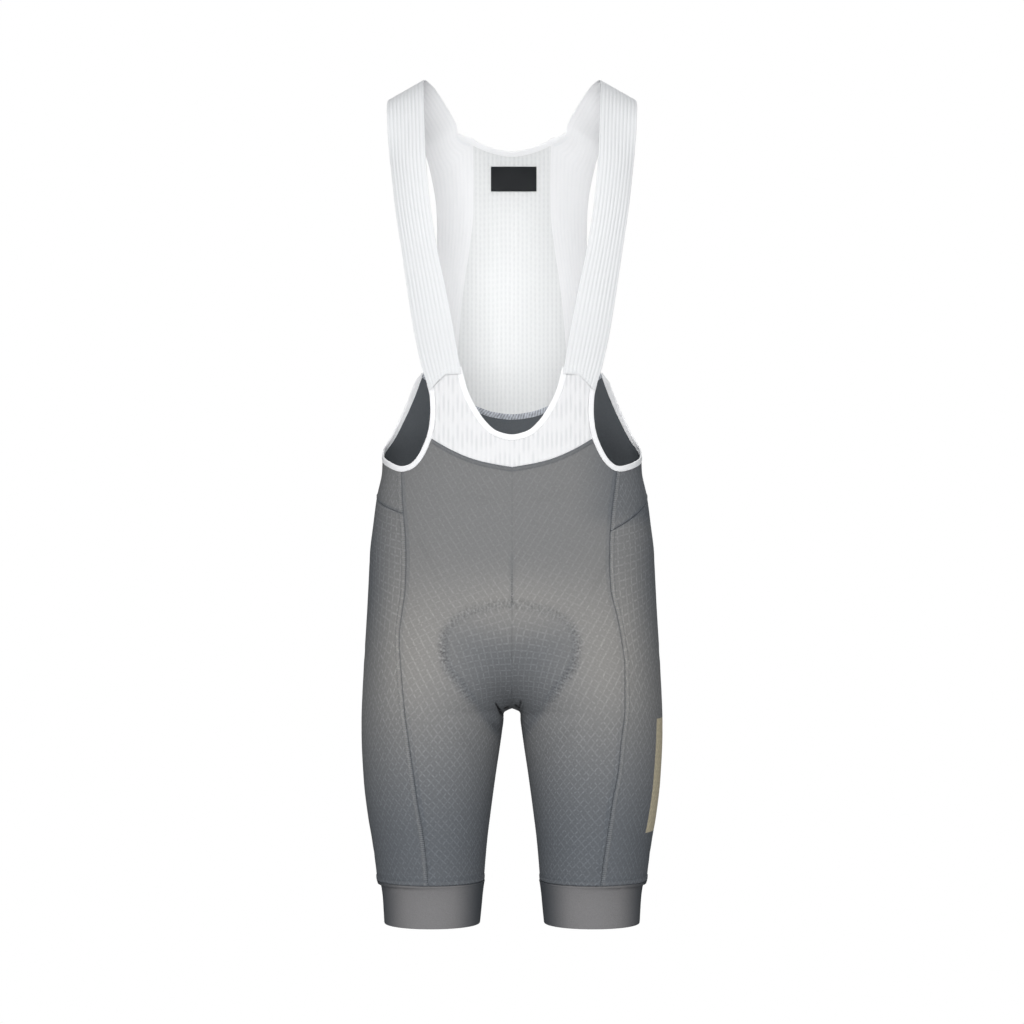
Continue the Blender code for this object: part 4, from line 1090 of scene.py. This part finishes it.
# the second colour of each ribbed knit is the painted shade in its furrows
bib_knit = ribbed("bib_rib_knit", "#ededee", "#caccce", BIB_RIB_MM, 16.0, 0.7, 0.36)
white_inside = ribbed("white_inside", "#eceef1", "#d5d9dd", BIB_RIB_MM, 15.0, 0.5, 0.4)
u_corner = round_at(LEFT, *BIB_SEAM[-1], FRONT)
u = np.linspace(0, u_corner, 60)
seam_z = front_top(LEFT, u)
seam_x = place(LEFT, u * side_seam(LEFT, seam_z), seam_z)[0][:, 0]
bib_side = along_line(BIB_SIDE, np.linspace(0, 1, 60))
outline = np.concatenate([np.stack([seam_x, seam_z], axis=-1), bib_side[1:]])
run = lengths(outline)
spots = np.linspace(0, 1, 260)
edge = at_lengths(outline, run, spots * run[-1])
mirrored = [(-x, z) for x, z in NECK_FRONT[:0:-1]]
neck = along_line([*mirrored, *NECK_FRONT], 0.5 + 0.5 * spots)
gap = np.linalg.norm(edge - neck, axis=1)[:, None]
fixed, share = spread(EDGE_MM[:5], 36, EDGE_MM[:5])
across = fixed + share * gap
half = neck[:, None] + (edge - neck)[:, None] * (across / gap)[..., None]
flat = np.concatenate([half[:0:-1] * (-1, 1), half])
across, gap = np.concatenate([across[:0:-1], across]), np.concatenate([gap[:0:-1], gap])
bib_points = front_or_back(flat[..., 0], flat[..., 1], FRONT)
facing = normals(bib_points)
relief = ribs(flat[..., 0], BIB_RIB_MM, 0.17) * ease(0, 3, across) * ease(0, 3, gap - across)
relief += edge_relief(across) + edge_relief(gap - across)
outer, inner = bib_points + facing * relief[..., None], bib_points - facing * CLOTH_MM
bib = shell("bib", outer, inner, (bib_knit, white_inside), maps={"panel": flat})
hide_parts("bib_front")

# --------------------------------------------------------------------------------------------------------
# The back panel. A white openwork rib knit between the two straps, from the neckline down to the yoke. It
# is seen from its inner side through the neck opening.

NECK_BACK = ((0, -78.4), (22.5, -74.5), (45, -66.5))
BAND_INNER = (
    # z, x
    *((-66.5, 45), (-100, 44.5), (-140, 45), (-190, 50.5)),
    *((-216, 54.5), (-266, 60), (-300, 62.5), (-354.5, 66)),
)
MESH_RIB_MM, MESH_FLAT_MM = 4.9, (125, 310)


def even_curve(line, x):
    """A curve that is the same to both sides of the centre, through the points (x, z) of one side."""
    return smooth(*zip((-line[1][0], line[1][1]), *line), np.abs(x))


def band_inner(z):
    """How far the back strap's inner edge lies from the centre line."""
    return smooth(*zip(*BAND_INNER[::-1]), z)


mesh_knit = ribbed("mesh_rib_knit", "#eeefef", "#d4d6d7", MESH_RIB_MM, 3.4, 0.45, 0.3)
share = np.linspace(-1, 1, 171)
down = np.linspace(0, 1, 76)[:, None]
width = BAND_INNER[0][1] + 0 * down * share
for _ in range(5):
    top, bottom = (even_curve(line, share * width) for line in (NECK_BACK, BACK_SEAM))
    heights = top * (1 - down) + bottom * down
    width = band_inner(heights) - HALF_GAP
x = share * width
mesh_points = front_or_back(x, heights, BACK)
facing = normals(mesh_points)
to_edge = np.minimum(np.minimum(width - np.abs(x), top - heights), heights - bottom)
relief = ribs(x, MESH_RIB_MM, 0.2) * ease(0, 2.5, to_edge)
outer = mesh_points + facing * relief[..., None]
inner = mesh_points - facing * (CLOTH_MM + relief)[..., None]
maps = {"panel": np.stack([x, heights], axis=-1)}
back = shell("back_panel", outer, inner, (mesh_knit, mesh_knit), maps=maps)
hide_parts("back_mesh")

# --------------------------------------------------------------------------------------------------------
# The straps. Raw-cut white elastic knit with fine ribs along it. Each lies flat on the bib at its front
# end, goes over the shoulder and runs down beside the back panel to the yoke.

STRAP = (
    # inner x, y, z and outer x, y, z; y is None where the strap lies on the skin
    (55.5, None, -337.5, 89.5, None, -355.5),
    (58.5, None, -318, 98, None, -330),
    (64, None, -286, 106.5, None, -292),
    (72.8, None, -241, 114, None, -247),
    (83, None, -194, 121.5, None, -198),
    (90, None, -150, 128.5, None, -154),
    (95, None, -102, 134.5, None, -106),
    (97.3, -62, -59, 138.5, -44, -70),
    (98.8, -42, -28, 140.2, -30, -45),
    (100, -18, -8, 140.8, -12, -29),
    (98.5, 5, 0, 138, 8, -22.5),
    (88, 27, -7, 126.5, 26, -31),
    (74.5, 46, -26, 112, 42, -52),
    (64.5, None, -42.5, 102.5, None, -70),
    (61.8, None, -54.5, 97.5, None, -84),
    (54, None, -61.5, 94, None, -98),
    (45, None, -66.5, 91.5, None, -110),
    (45, None, -95, 88.5, None, -128),
    (45, None, -140, 87, None, -150),
    (50.5, None, -190, 86.8, None, -194),
    (58.4, None, -248, 89.5, None, -246),
    (62.5, None, -300, 97, None, -288),
    (66, None, -354.5, 102.5, None, -330),
)
STRAP_END = ((0, -337.5), (0.45, -338), (0.75, -346), (1, -355.5))
STRAP_LIFT, LIFTED_ROWS, NAPE_ROWS = 2.8, 8, (14, 16)
STRAP_RIB_MM, STRAP_MM, STRAP_FLAT_MM = 4.8, 1.1, (44, 690)
STEPS_PER_ROW, STRAP_COLUMNS = 7, 72


def strap(side):
    """A strap's grid, a row for each line across it, its outward directions and its lift off the skin."""
    share = np.linspace(0, 1, STRAP_COLUMNS + 1)
    control, resting = [], []
    for in_x, in_y, in_z, out_x, out_y, out_z in STRAP:
        x, z = in_x + (out_x - in_x) * share, in_z + (out_z - in_z) * share
        z = z if control else smooth(*zip(*STRAP_END), share)
        where = FRONT if len(control) < len(STRAP) / 2 else BACK
        y = front_or_back(x, z, where)[:, 1] if in_y is None else in_y + (out_y - in_y) * share
        control.append(np.stack([x, y, z], axis=-1))
        resting.append(where if in_y is None else 0)
    rows, spots = [], []
    for i in range(len(control) - 1):
        before, a = control[max(i - 1, 0)], control[i]
        b, after = control[i + 1], control[min(i + 2, len(control) - 1)]
        for t in np.arange(STEPS_PER_ROW) / STEPS_PER_ROW:
            row = a * (2 * t**3 - 3 * t**2 + 1) + b * (3 * t**2 - 2 * t**3)
            row = row + (b - before) / 2 * (t**3 - 2 * t**2 + t) + (after - a) / 2 * (t**3 - t**2)
            if resting[i] == resting[i + 1] == BACK and row[0, 2] < BAND_INNER[0][0]:
                inner = band_inner(row[0, 2]) + HALF_GAP
                row[:, 0] = inner + (row[-1, 0] - inner) * share
            if resting[i] and resting[i + 1]:
                row = front_or_back(row[:, 0], row[:, 2], resting[i])
            rows.append(row)
            spots.append(i + t)
    rows.append(control[-1])
    spots.append(len(control) - 1)
    grid = np.array(rows) * (side, 1, 1)
    facing = np.cross(np.gradient(grid, axis=1), np.gradient(grid, axis=0)) * side
    lift = STRAP_LIFT * np.clip(1 - np.array(spots) / LIFTED_ROWS, 0, 1)
    return grid, unit(facing), lift[:, None]


strap_knit = ribbed("strap_rib_knit", "#eaebec", "#dcdfe2", STRAP_RIB_MM, 40.0, 0.4, 0.18)
strap_inside = ribbed("strap_inside_knit", "#f8f8f9", "#e9ebed", STRAP_RIB_MM, 40.0, 0.4, 0.18)
strap_grids, nape_edges = {}, {}
for side, word in SIDES:
    points, facing, lift = strap(side)
    over = np.linalg.norm(np.diff(points, axis=1), axis=-1)
    over = np.concatenate([np.zeros((len(points), 1)), np.cumsum(over, axis=1)], axis=1)
    wide = over[:, -1:]
    down = lengths(points[:, STRAP_COLUMNS // 2])[:, None] + 0 * over
    edge = np.minimum(over, wide - over)
    count = np.round(wide.mean() / STRAP_RIB_MM)
    ribs_across = over / wide * count * STRAP_RIB_MM
    relief = ribs(ribs_across, STRAP_RIB_MM, 0.07) * ease(0, 2, edge) - 0.25 * (1 - ease(0, 1.0, edge))
    end_hem = 0.35 * ease(0.2, 1.2, down) * (1 - ease(5.6, 6.8, down))
    relief += end_hem - 0.3 * np.exp(-(((down - 6.3) / 0.7) ** 2))
    grid = points + facing * lift[..., None]
    outer, inner = grid + facing * relief[..., None], grid - facing * STRAP_MM
    maps = {"panel": np.stack([ribs_across, down], axis=-1)}
    piece = shell(f"strap_band_{word}", outer, inner, (strap_knit, strap_inside), maps=maps)
    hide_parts(f"strap_{word}")
    strap_grids[side] = grid, facing
    first, last = (row * STEPS_PER_ROW for row in NAPE_ROWS)
    nape_edges[side] = points[first:last, 0]

# --------------------------------------------------------------------------------------------------------
# The bindings. White elastic tape is folded over the raw edges of both armholes and both necklines and
# sewn down near its edge, so that it stands up a little beyond the cloth.

TAPE_MM, TAPE_OUT, TAPE_SHEET_MM = 6.3, 0.5, 0.75
TAPE_STRETCH, TUCK_MM, TUCKED = 1.05, 16.0, 0.62
TAPE_RIB_MM, TAPE_FUZZ = 1.1, 700.0  # the fuzz in grains per metre, so 1.4 mm wide
ARMHOLE_MIDDLE = (125.0, 10.0, -380.0)


def evened(points, step=1.5, passes=5):
    """A line at even steps, with its corners rounded off."""
    run = lengths(points)
    spots = np.linspace(0, run[-1], int(run[-1] / step))
    return rounded(at_lengths(points, run, spots), passes)


def ways_across(path, facing, toward):
    """Directions in the cloth square to a line on it, on the side that toward points to."""
    way = unit(np.cross(np.gradient(path, axis=0), facing))
    return way * np.sign(np.sum(way * toward, axis=1, keepdims=True))


def elastic():
    """Bright white elastic tape, finely ribbed across its length."""
    material = new_material("white_elastic_tape")
    sheet = add(material, "UVMap", uv_map="panel").outputs[0]
    sheet = add(material, "SeparateXYZ", {0: sheet}).outputs
    rib = {0: sheet[0], 1: 2 * math.pi / TAPE_RIB_MM}
    rib = add(material, "Math", rib, operation="MULTIPLY").outputs[0]
    rib = add(material, "Math", {0: rib}, operation="SINE").outputs[0]
    object_space = add(material, "TexCoord").outputs["Object"]
    fuzz = {"Vector": object_space, "Scale": TAPE_FUZZ, "Detail": 2.0}
    fuzz = add(material, "TexNoise", fuzz).outputs["Fac"]
    height = add(material, "Math", {0: rib, 1: 0.25, 2: fuzz}, operation="MULTIPLY_ADD").outputs[0]
    return finished(material, paint("#fdfdfe"), 0.6, 0.3, height, 0.35, 0.3)


def folded_tape(name, node, path, opening, tucked=(0, 0)):
    """A tape folded over the cloth's edge, along a path on the skin.

    Opening points roughly away from the cloth. Tucked says which of the tape's ends, the first and the
    last, narrow to go under a strap.
    """
    facing = normals(path)
    away = ways_across(path, facing, opening)
    half = (CLOTH_MM + 2 * TAPE_OUT) / 2
    middle, turn = TAPE_OUT - half, TAPE_MM - half
    flat_part, bend = np.array((0.06, 0.9, 2.0, 3.2, 4.4, turn)), np.radians((60, 30, 0, -30, -60))
    profile = [(a, 1.0 + 0.12 * np.sin(np.pi * a / turn), 0.0) for a in flat_part]
    profile += [(turn, np.sin(b), np.cos(b)) for b in bend]
    profile += [(a, -1.0, 0.0) for a in flat_part[::-1]]
    run = lengths(path)
    around = lengths(np.array([(a + half * c, half * b) for a, b, c in profile]))
    ripple = 1 + 0.07 * np.sin(run / 2.3)[:, None] * np.sin(run / 7.1)[:, None]
    narrowed = tucked[0] * ease(TUCK_MM, 0, run) + tucked[1] * ease(TUCK_MM, 0, run[-1] - run)
    wide = 1 - TUCKED * narrowed[:, None]
    faces = []
    for reach in (half, half - TAPE_SHEET_MM):
        a, b = np.array([(a + reach * c, middle + reach * b) for a, b, c in profile]).T
        beyond, lifted = away[:, None] * (a * wide)[..., None], facing[:, None] * (b * ripple)[..., None]
        faces.append(path[:, None] + beyond + lifted)
    panel = np.stack(np.broadcast_arrays(run[:, None], around[None]), axis=-1)
    tape = shell(name, *faces, (tape_white,), maps={"panel": panel})
    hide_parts(node)
    return path, facing, away


tape_white = elastic()
bound = []
for side, word in SIDES:
    bib_side = along_line(BIB_SIDE[::-1], np.linspace(0, 1, 40))
    bib_side = front_or_back(bib_side[:, 0], bib_side[:, 1], FRONT) * (side, 1, 1)
    u = np.linspace(round_at(side, *BIB_SEAM[-1], FRONT), 1, 40)[1:]
    top = front_top(side, u)
    front_edge = place(side, u * side_seam(side, top), top)[0]
    edge_height, corner = yoke_top(side)
    u = np.linspace(1, corner, 90)[1:]
    top = edge_height(u)
    rear_edge = place(side, side_seam(side, top) + (u - 1) * (whole(top) - side_seam(side, top)), top)[0]
    path = on_skin(evened(np.concatenate([bib_side, front_edge, rear_edge])))
    opening = np.array(ARMHOLE_MIDDLE) * (side, 1, 1) - path
    name, node = f"armhole_tape_{word}", f"armhole_binding_{word}"
    bound.append(folded_tape(name, node, path, opening, (0, 1)))
neckline = on_skin(evened(bib_points[:, 0]))
bound.append(folded_tape("neck_tape", "neck_binding_front", neckline, (0, 0, 1)))
nape = np.concatenate([nape_edges[RIGHT], mesh_points[0], nape_edges[LEFT][::-1]])
nape = on_skin(evened(nape, passes=9))
bound.append(folded_tape("nape_tape", "neck_binding_back", nape, (0, 0, 1), (1, 1)))

# --------------------------------------------------------------------------------------------------------
# The sewing. Polyester thread lies in short stitches along the raised side of each seam, along the
# bindings, across the straps' ends and round the pad.

GREY_THREAD, WHITE_THREAD, DARK_THREAD, RUNG_THREAD = "#6b7075", "#eef0f2", "#4d5459", "#898c8f"
THREAD_ROUGHNESS, THREAD_RADIUS, WHITE_RADIUS, FINE_RADIUS = 0.6, 0.2, 0.19, 0.16
# A stitch's length and the gap after it, in mm.
TOPSTITCH, BIB_STITCH, CENTRE_STITCH, DARK_STITCH = (2.6, 0.7), (2.4, 0.8), (2.2, 0.8), (1.2, 1.5)
PAD_STITCH, TAPE_STITCH, LABEL_STITCH = (1.7, 0.9), (2.3, 0.8), (2.0, 0.8)
STITCH_RINGS = (
    # share of its length, radius and rise, in radii of the thread
    *((0.0, 0.0, -0.6), (0.16, 0.85, 0.0), (0.5, 1.0, 0.25), (0.84, 0.85, 0.0), (1.0, 0.0, -0.6)),
)


def plain(name, colour, roughness, grain_mm=0.0):
    """A plain matt material, with a fine grain if that is given."""
    material = new_material(name)
    grains = None
    if grain_mm:
        object_space = add(material, "TexCoord").outputs["Object"]
        grains = {"Vector": object_space, "Scale": 1000 / grain_mm, "Detail": 2.0}
        grains = add(material, "TexNoise", grains).outputs["Fac"]
    return finished(material, paint(colour), roughness, 0.25, grains)


def running(points, facing, length, gap):
    """Stitches one after another along a line."""
    run = lengths(points)
    starts = np.arange(gap, run[-1] - length, length + gap)
    first, last = (at_lengths(points, run, spots) for spots in (starts, starts + length))
    return first, last, at_lengths(facing, run, starts + length / 2)


def zigzag(points, facing, across, pitch, reach):
    """Stitches to and fro across a line."""
    run = lengths(points)
    spots = np.arange(0, run[-1], pitch / 2)
    line, out, way = (at_lengths(part, run, spots) for part in (points, facing, across))
    ends = line + way * (reach / 2 * np.where(np.arange(len(spots)) % 2, 1, -1))[:, None]
    return ends[:-1], ends[1:], out[:-1]


def thread(name, seams, radius, material):
    """Stitches as short rounded bars of thread.

    Seams is a list of the stitches' start points, end points and directions away from the cloth.
    """
    starts, ends, facing = (np.concatenate(part) for part in zip(*seams))
    run = ends - starts
    long = np.linalg.norm(run, axis=1, keepdims=True)
    run /= long
    beside = np.cross(facing, run)
    rings = []
    for share, size, rise in STITCH_RINGS:
        for turn in np.arange(6 if size else 1) * math.pi / 3:
            off = beside * math.cos(turn) * size + facing * (math.sin(turn) * size + rise)
            rings.append(starts + run * long * share + off * radius)
    vertices = np.stack(rings, axis=1)
    one = [(0, 1 + (k + 1) % 6, 1 + k) for k in range(6)]
    one += [(r + k, r + (k + 1) % 6, r + 6 + (k + 1) % 6, r + 6 + k) for r in (1, 7) for k in range(6)]
    one += [(13 + k, 13 + (k + 1) % 6, 19) for k in range(6)]
    faces = [tuple(k + 20 * n for k in face) for n in range(len(starts)) for face in one]
    mesh = bpy.data.meshes.new(name)
    mesh.from_pydata((vertices.reshape(-1, 3) * 0.001).tolist(), [], faces)
    mesh.materials.append(material)
    mesh.shade_smooth()
    return new_piece(name, mesh)


def seam_row(side, along, z, lift):
    """A line on the cloth at distances round one side, lifted off it, and its outward directions."""
    points, facing = place(side, along, z)
    return points + facing * lift, facing


grey_thread = plain("grey_thread", GREY_THREAD, THREAD_ROUGHNESS)
white_thread = plain("white_thread", WHITE_THREAD, THREAD_ROUGHNESS)
dark_thread = plain("dark_thread", DARK_THREAD, THREAD_ROUGHNESS)
rung_thread = plain("rung_thread", RUNG_THREAD, THREAD_ROUGHNESS)
grey_rows, rung_rows, dark_rows, white_rows = [], [], [], []
for side, _ in SIDES:
    # distance round and height of each line of grey stitches, how far it is lifted, and its stitch
    z = np.linspace(SIDE_SEAM_TOP_Z - 3, CUFF_SEAM_Z + 2, 240)
    rows = [(side_seam(side, z) - d, z, 0.3, TOPSTITCH) for d in (-4.9, 1.0)]
    u = np.linspace(0.01, round_at(side, *BIB_SEAM[-1], FRONT) - 0.01, 120)
    top = front_top(side, u)
    rows += [(u * side_seam(side, top - d), top - d, 0.45, BIB_STITCH) for d in (1.6, 4.4)]
    u = np.linspace(1.0, 2.0, 200)
    top = hip_seam(side, u) + HIP_HEM_MM - 0.6
    width = whole(top) - side_seam(side, top)
    rows.append((side_seam(side, top) + (u - 1) * width, top, 0.5, TOPSTITCH))
    z = CUFF_SEAM_Z + CUFF_HEM_MM
    along = np.linspace(0, float(whole(z)), 300)
    rows.append((along, z + 0 * along, 0.35, TOPSTITCH))
    z = np.linspace(hip_seam(side, 2.0) - 3, CROTCH_Z + 10, 160)
    rows.append((whole(z) - 1.2, z, -0.1, CENTRE_STITCH))
    z = np.linspace(CROTCH_Z - 6, CUFF_SEAM_Z + 4, 120)
    rows.append((1.2 + 0 * z, z, -0.1, CENTRE_STITCH))
    for along, z, lift, stitch in rows:
        grey_rows.append(running(*seam_row(side, along, z, lift), *stitch))
    ring = PAD_SEAM[side]
    out = normals(ring)
    grey_rows.append(running(ring - out * 0.45, out, *PAD_STITCH))

    rungs = np.arange(SIDE_SEAM_TOP_Z - 4, CUFF_SEAM_Z + 2, -2.2)
    inner_end, out = seam_row(side, side_seam(side, rungs) - 0.8, rungs, 0.4)
    outer_end, _ = seam_row(side, side_seam(side, rungs) + 4.6, rungs, 0.4)
    rung_rows.append((inner_end, outer_end, out))
    z = np.linspace(-550, PAD_FRONT_Z, 32)
    dark_rows.append(running(*seam_row(side, 0.35 + 0 * z, z, -0.25), *DARK_STITCH))
    grid, facing = strap_grids[side]
    down = lengths(grid[:, STRAP_COLUMNS // 2])
    for d in (2.4, 5.0):
        k = np.interp(d, down, np.arange(len(down)))
        row = grid[int(k)] * (1 - k % 1) + grid[int(k) + 1] * (k % 1)
        white_rows.append(running(row + facing[int(k)] * 0.42, facing[int(k)], *BIB_STITCH))
for path, facing, away in bound:
    for out, turn in ((TAPE_OUT + 0.1, 1), (TAPE_OUT - CLOTH_MM - 2 * TAPE_OUT - 0.1, -1)):
        white_rows.append(running(path + away * 1.3 + facing * out, facing * turn, *TAPE_STITCH))
thread("grey_stitches", grey_rows, THREAD_RADIUS, grey_thread)
thread("seam_rungs", rung_rows, THREAD_RADIUS, rung_thread)
thread("centre_stitches", dark_rows, FINE_RADIUS, dark_thread)

# Where the straps meet the back neckline, a bartack of close zigzags holds each of them.
for side, _ in SIDES:
    edge = nape_edges[side]
    inward = on_skin(evened(edge, 1.0, 2))
    out = -normals(inward)
    over = ways_across(inward, out, (side, 0, -1))
    base = inward + over * 3.2 + out * (STRAP_MM + 0.15)
    white_rows.append(zigzag(base, out, over, 2.2, 4.2))
thread("white_stitches", white_rows, WHITE_RADIUS, white_thread)

# --------------------------------------------------------------------------------------------------------
# The overlocked seam inside the back. A band of blue-grey thread wraps the raw edges where the white back
# panel and the straps are sewn to the yoke. It lies on the inner side, just below the seam.

BAND_RISE, BAND_BLUE_GREY, BAND_GREY = 0.8, "#ccd0d8", "#6f7479"
BAND_MM, NARROW_BAND_MM, BAND_END_X, LOOP_MM, LOOP_FUZZ_MM = 6.4, 5.6, 102.0, 3.2, 2.5


def overlock_thread(name, colour):
    """Thread in close slanting loops, with painted shade in the gaps between them."""
    material = new_material(name)
    sheet = add(material, "UVMap", uv_map="panel").outputs[0]
    sheet = add(material, "SeparateXYZ", {0: sheet}).outputs
    slant = {0: sheet[1], 1: 0.45, 2: sheet[0]}
    slant = add(material, "Math", slant, operation="MULTIPLY_ADD").outputs[0]
    loops = add(material, "Math", {0: slant, 1: 2 * math.pi / LOOP_MM}, operation="MULTIPLY").outputs[0]
    loops = add(material, "Math", {0: loops}, operation="SINE").outputs[0]
    object_space = add(material, "TexCoord").outputs["Object"]
    fuzz = {"Vector": object_space, "Scale": 1000 / LOOP_FUZZ_MM, "Detail": 0.0}
    fuzz = add(material, "TexNoise", fuzz).outputs["Fac"]
    height = add(material, "Math", {0: loops, 1: 0.34, 2: fuzz}, operation="MULTIPLY_ADD").outputs[0]
    light = {"Value": height, "From Min": 0.0, "From Max": 1.0, "To Min": 0.44, "To Max": 1.06}
    light = add(material, "MapRange", light).outputs[0]
    base = add(material, "HueSaturation", {"Color": paint(colour), "Value": light}).outputs[0]
    return finished(material, base, 0.75, 0.25, height, 0.6)


def overlock(name, path, way, wide, material):
    """A low rounded band of thread on the cloth's inner side, from the path over a width in mm."""
    out = -normals(path)
    run = lengths(path)
    share = np.linspace(0, 1, 9)
    uneven = 1 + 0.1 * np.sin(run / 1.1) * np.sin(run / 5.3)
    rise = BAND_RISE * np.sin(np.pi * np.clip(share, 0.02, 0.98)) ** 0.5 * uneven[:, None]
    base = path[:, None] + way[:, None] * (share * wide)[:, None]
    base = on_skin(base) + out[:, None] * (CLOTH_MM + 0.05)
    panel = np.stack(np.broadcast_arrays(run[:, None], share * wide), axis=-1)
    band = shell(name, base + out[:, None] * rise[..., None], base, (material,), maps={"panel": panel})


x = np.linspace(-BAND_END_X, BAND_END_X, 260)
seam = front_or_back(x, even_curve(BACK_SEAM, x) + 1.5, BACK)
down = ways_across(seam, normals(seam), (0, 0, -1))
blue_grey_overlock = overlock_thread("blue_grey_overlock", BAND_BLUE_GREY)
overlock("back_seam_overlock", seam, down, BAND_MM, blue_grey_overlock)

# A narrower grey band runs inside the centre seam, from the bib under the crotch and up to the yoke.
crotch = crotch_line()[0]
above_front = np.arange(front_top(LEFT, 0.0) - 7, crotch[0, 2], -3.0)
above_back = np.arange(crotch[-1, 2] + 3, hip_seam(LEFT, 2.0) + 4, 3.0)
above_front, above_back = front_or_back(0.0, above_front, FRONT), front_or_back(0.0, above_back, BACK)
seam = evened(np.concatenate([above_front, crotch, above_back]), 1.2, 3)
way = np.tile((1.0, 0.0, 0.0), (len(seam), 1))
grey_overlock = overlock_thread("grey_overlock", BAND_GREY)
beside_seam = on_skin(seam - way * NARROW_BAND_MM / 2)
overlock("centre_seam_overlock", beside_seam, way, NARROW_BAND_MM, grey_overlock)

# --------------------------------------------------------------------------------------------------------
# The label. A small plain black woven label with folded edges. It is sewn flat to the inner side of the
# back panel, below the neckline.

LABEL_CENTRE_X, LABEL_TOP_Z, LABEL_SIZE_MM = 2.0, -89.0, (53.0, 28.0)
LABEL_MM, LABEL_OFF_MM = 0.7, 0.75
x = LABEL_CENTRE_X + np.linspace(-0.5, 0.5, 41) * LABEL_SIZE_MM[0]
z = LABEL_TOP_Z - np.linspace(0, 1, 23)[:, None] * LABEL_SIZE_MM[1]
x, z = np.broadcast_arrays(x, z)
points = front_or_back(x, z, BACK)
facing = -normals(points)
bow = 0.25 * np.cos(x / 7.0) * np.sin(z / 6.0)
points = points + facing * (CLOTH_MM + LABEL_OFF_MM + LABEL_MM + bow)[..., None]
woven = plain("black_woven_label", "#171a1d", 0.55, grain_mm=0.9)
tag = shell("black_label_cloth", points, points - facing * LABEL_MM, (woven,))
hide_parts("label")
sides = (points[1, 1:-1], points[1:-1, -2], points[-2, -2:0:-1], points[-2:0:-1, 1], points[1:2, 1])
border = np.concatenate(sides)
out = np.repeat(facing[:1, 20], len(border), axis=0)
black_thread = plain("black_thread", "#25292d", THREAD_ROUGHNESS)
label_rows = [running(border + out * 0.1, out, *LABEL_STITCH)]
thread("label_stitches", label_rows, FINE_RADIUS, black_thread)

# --------------------------------------------------------------------------------------------------------
# The pad. A foam pad faced with smooth dark knit lies inside the crotch, thin at its edge and crowned in
# the middle, with channels pressed into its face along the middle and across.

PAD_CLEARANCE, PAD_EDGE, PAD_MIDDLE, CHANNEL_MM = 2.5, 2.0, 8.0, 2.6
CROSS_CHANNELS = (0.22, 0.44, 0.72)  # where channels cross the pad, by the share of its length
near_front, near_back = (0, 0.006, 0.015, 0.03), (0.97, 0.985, 0.994, 1)
stations = np.concatenate([near_front, np.linspace(0.045, 0.955, 130), near_back])
halves = {side: pad_grid(side, stations, 30) for side, _ in SIDES}
points = np.concatenate([halves[RIGHT][:, :0:-1], halves[LEFT]], axis=1)
facing = normals(points)
across = np.linspace(-1, 1, points.shape[1])
ends = np.clip(np.minimum(stations, 1 - stations) / 0.1, 0, 1)[:, None]
crown = np.sqrt(np.clip(1 - across**2, 0, 1)) * ends
thick = PAD_EDGE + (PAD_MIDDLE - PAD_EDGE) * crown
deep = np.clip((thick - PAD_EDGE) / (PAD_MIDDLE - PAD_EDGE), 0, 1)
channels = np.exp(-((across / 0.055) ** 2)) * ease(0.16, 0.24, stations)[:, None]
off_channel = np.abs(across) - 0.52 - 0.1 * np.cos(4 * stations[:, None])
channels = channels + np.exp(-((off_channel / 0.05) ** 2))
for spot in CROSS_CHANNELS:
    bowed = spot + 0.03 * across**2
    channels = np.maximum(channels, np.exp(-(((stations[:, None] - bowed) / 0.012) ** 2)))
thick = thick - CHANNEL_MM * np.clip(channels, 0, 1) * deep
outer = points - facing * (CLOTH_MM + PAD_CLEARANCE)
pad_cloth = plain("pad_facing_knit", "#4c4f54", 0.85, grain_mm=1.4)
foam = shell("crotch_pad", outer, outer - facing * thick[..., None], (pad_cloth,))
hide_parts("pad")
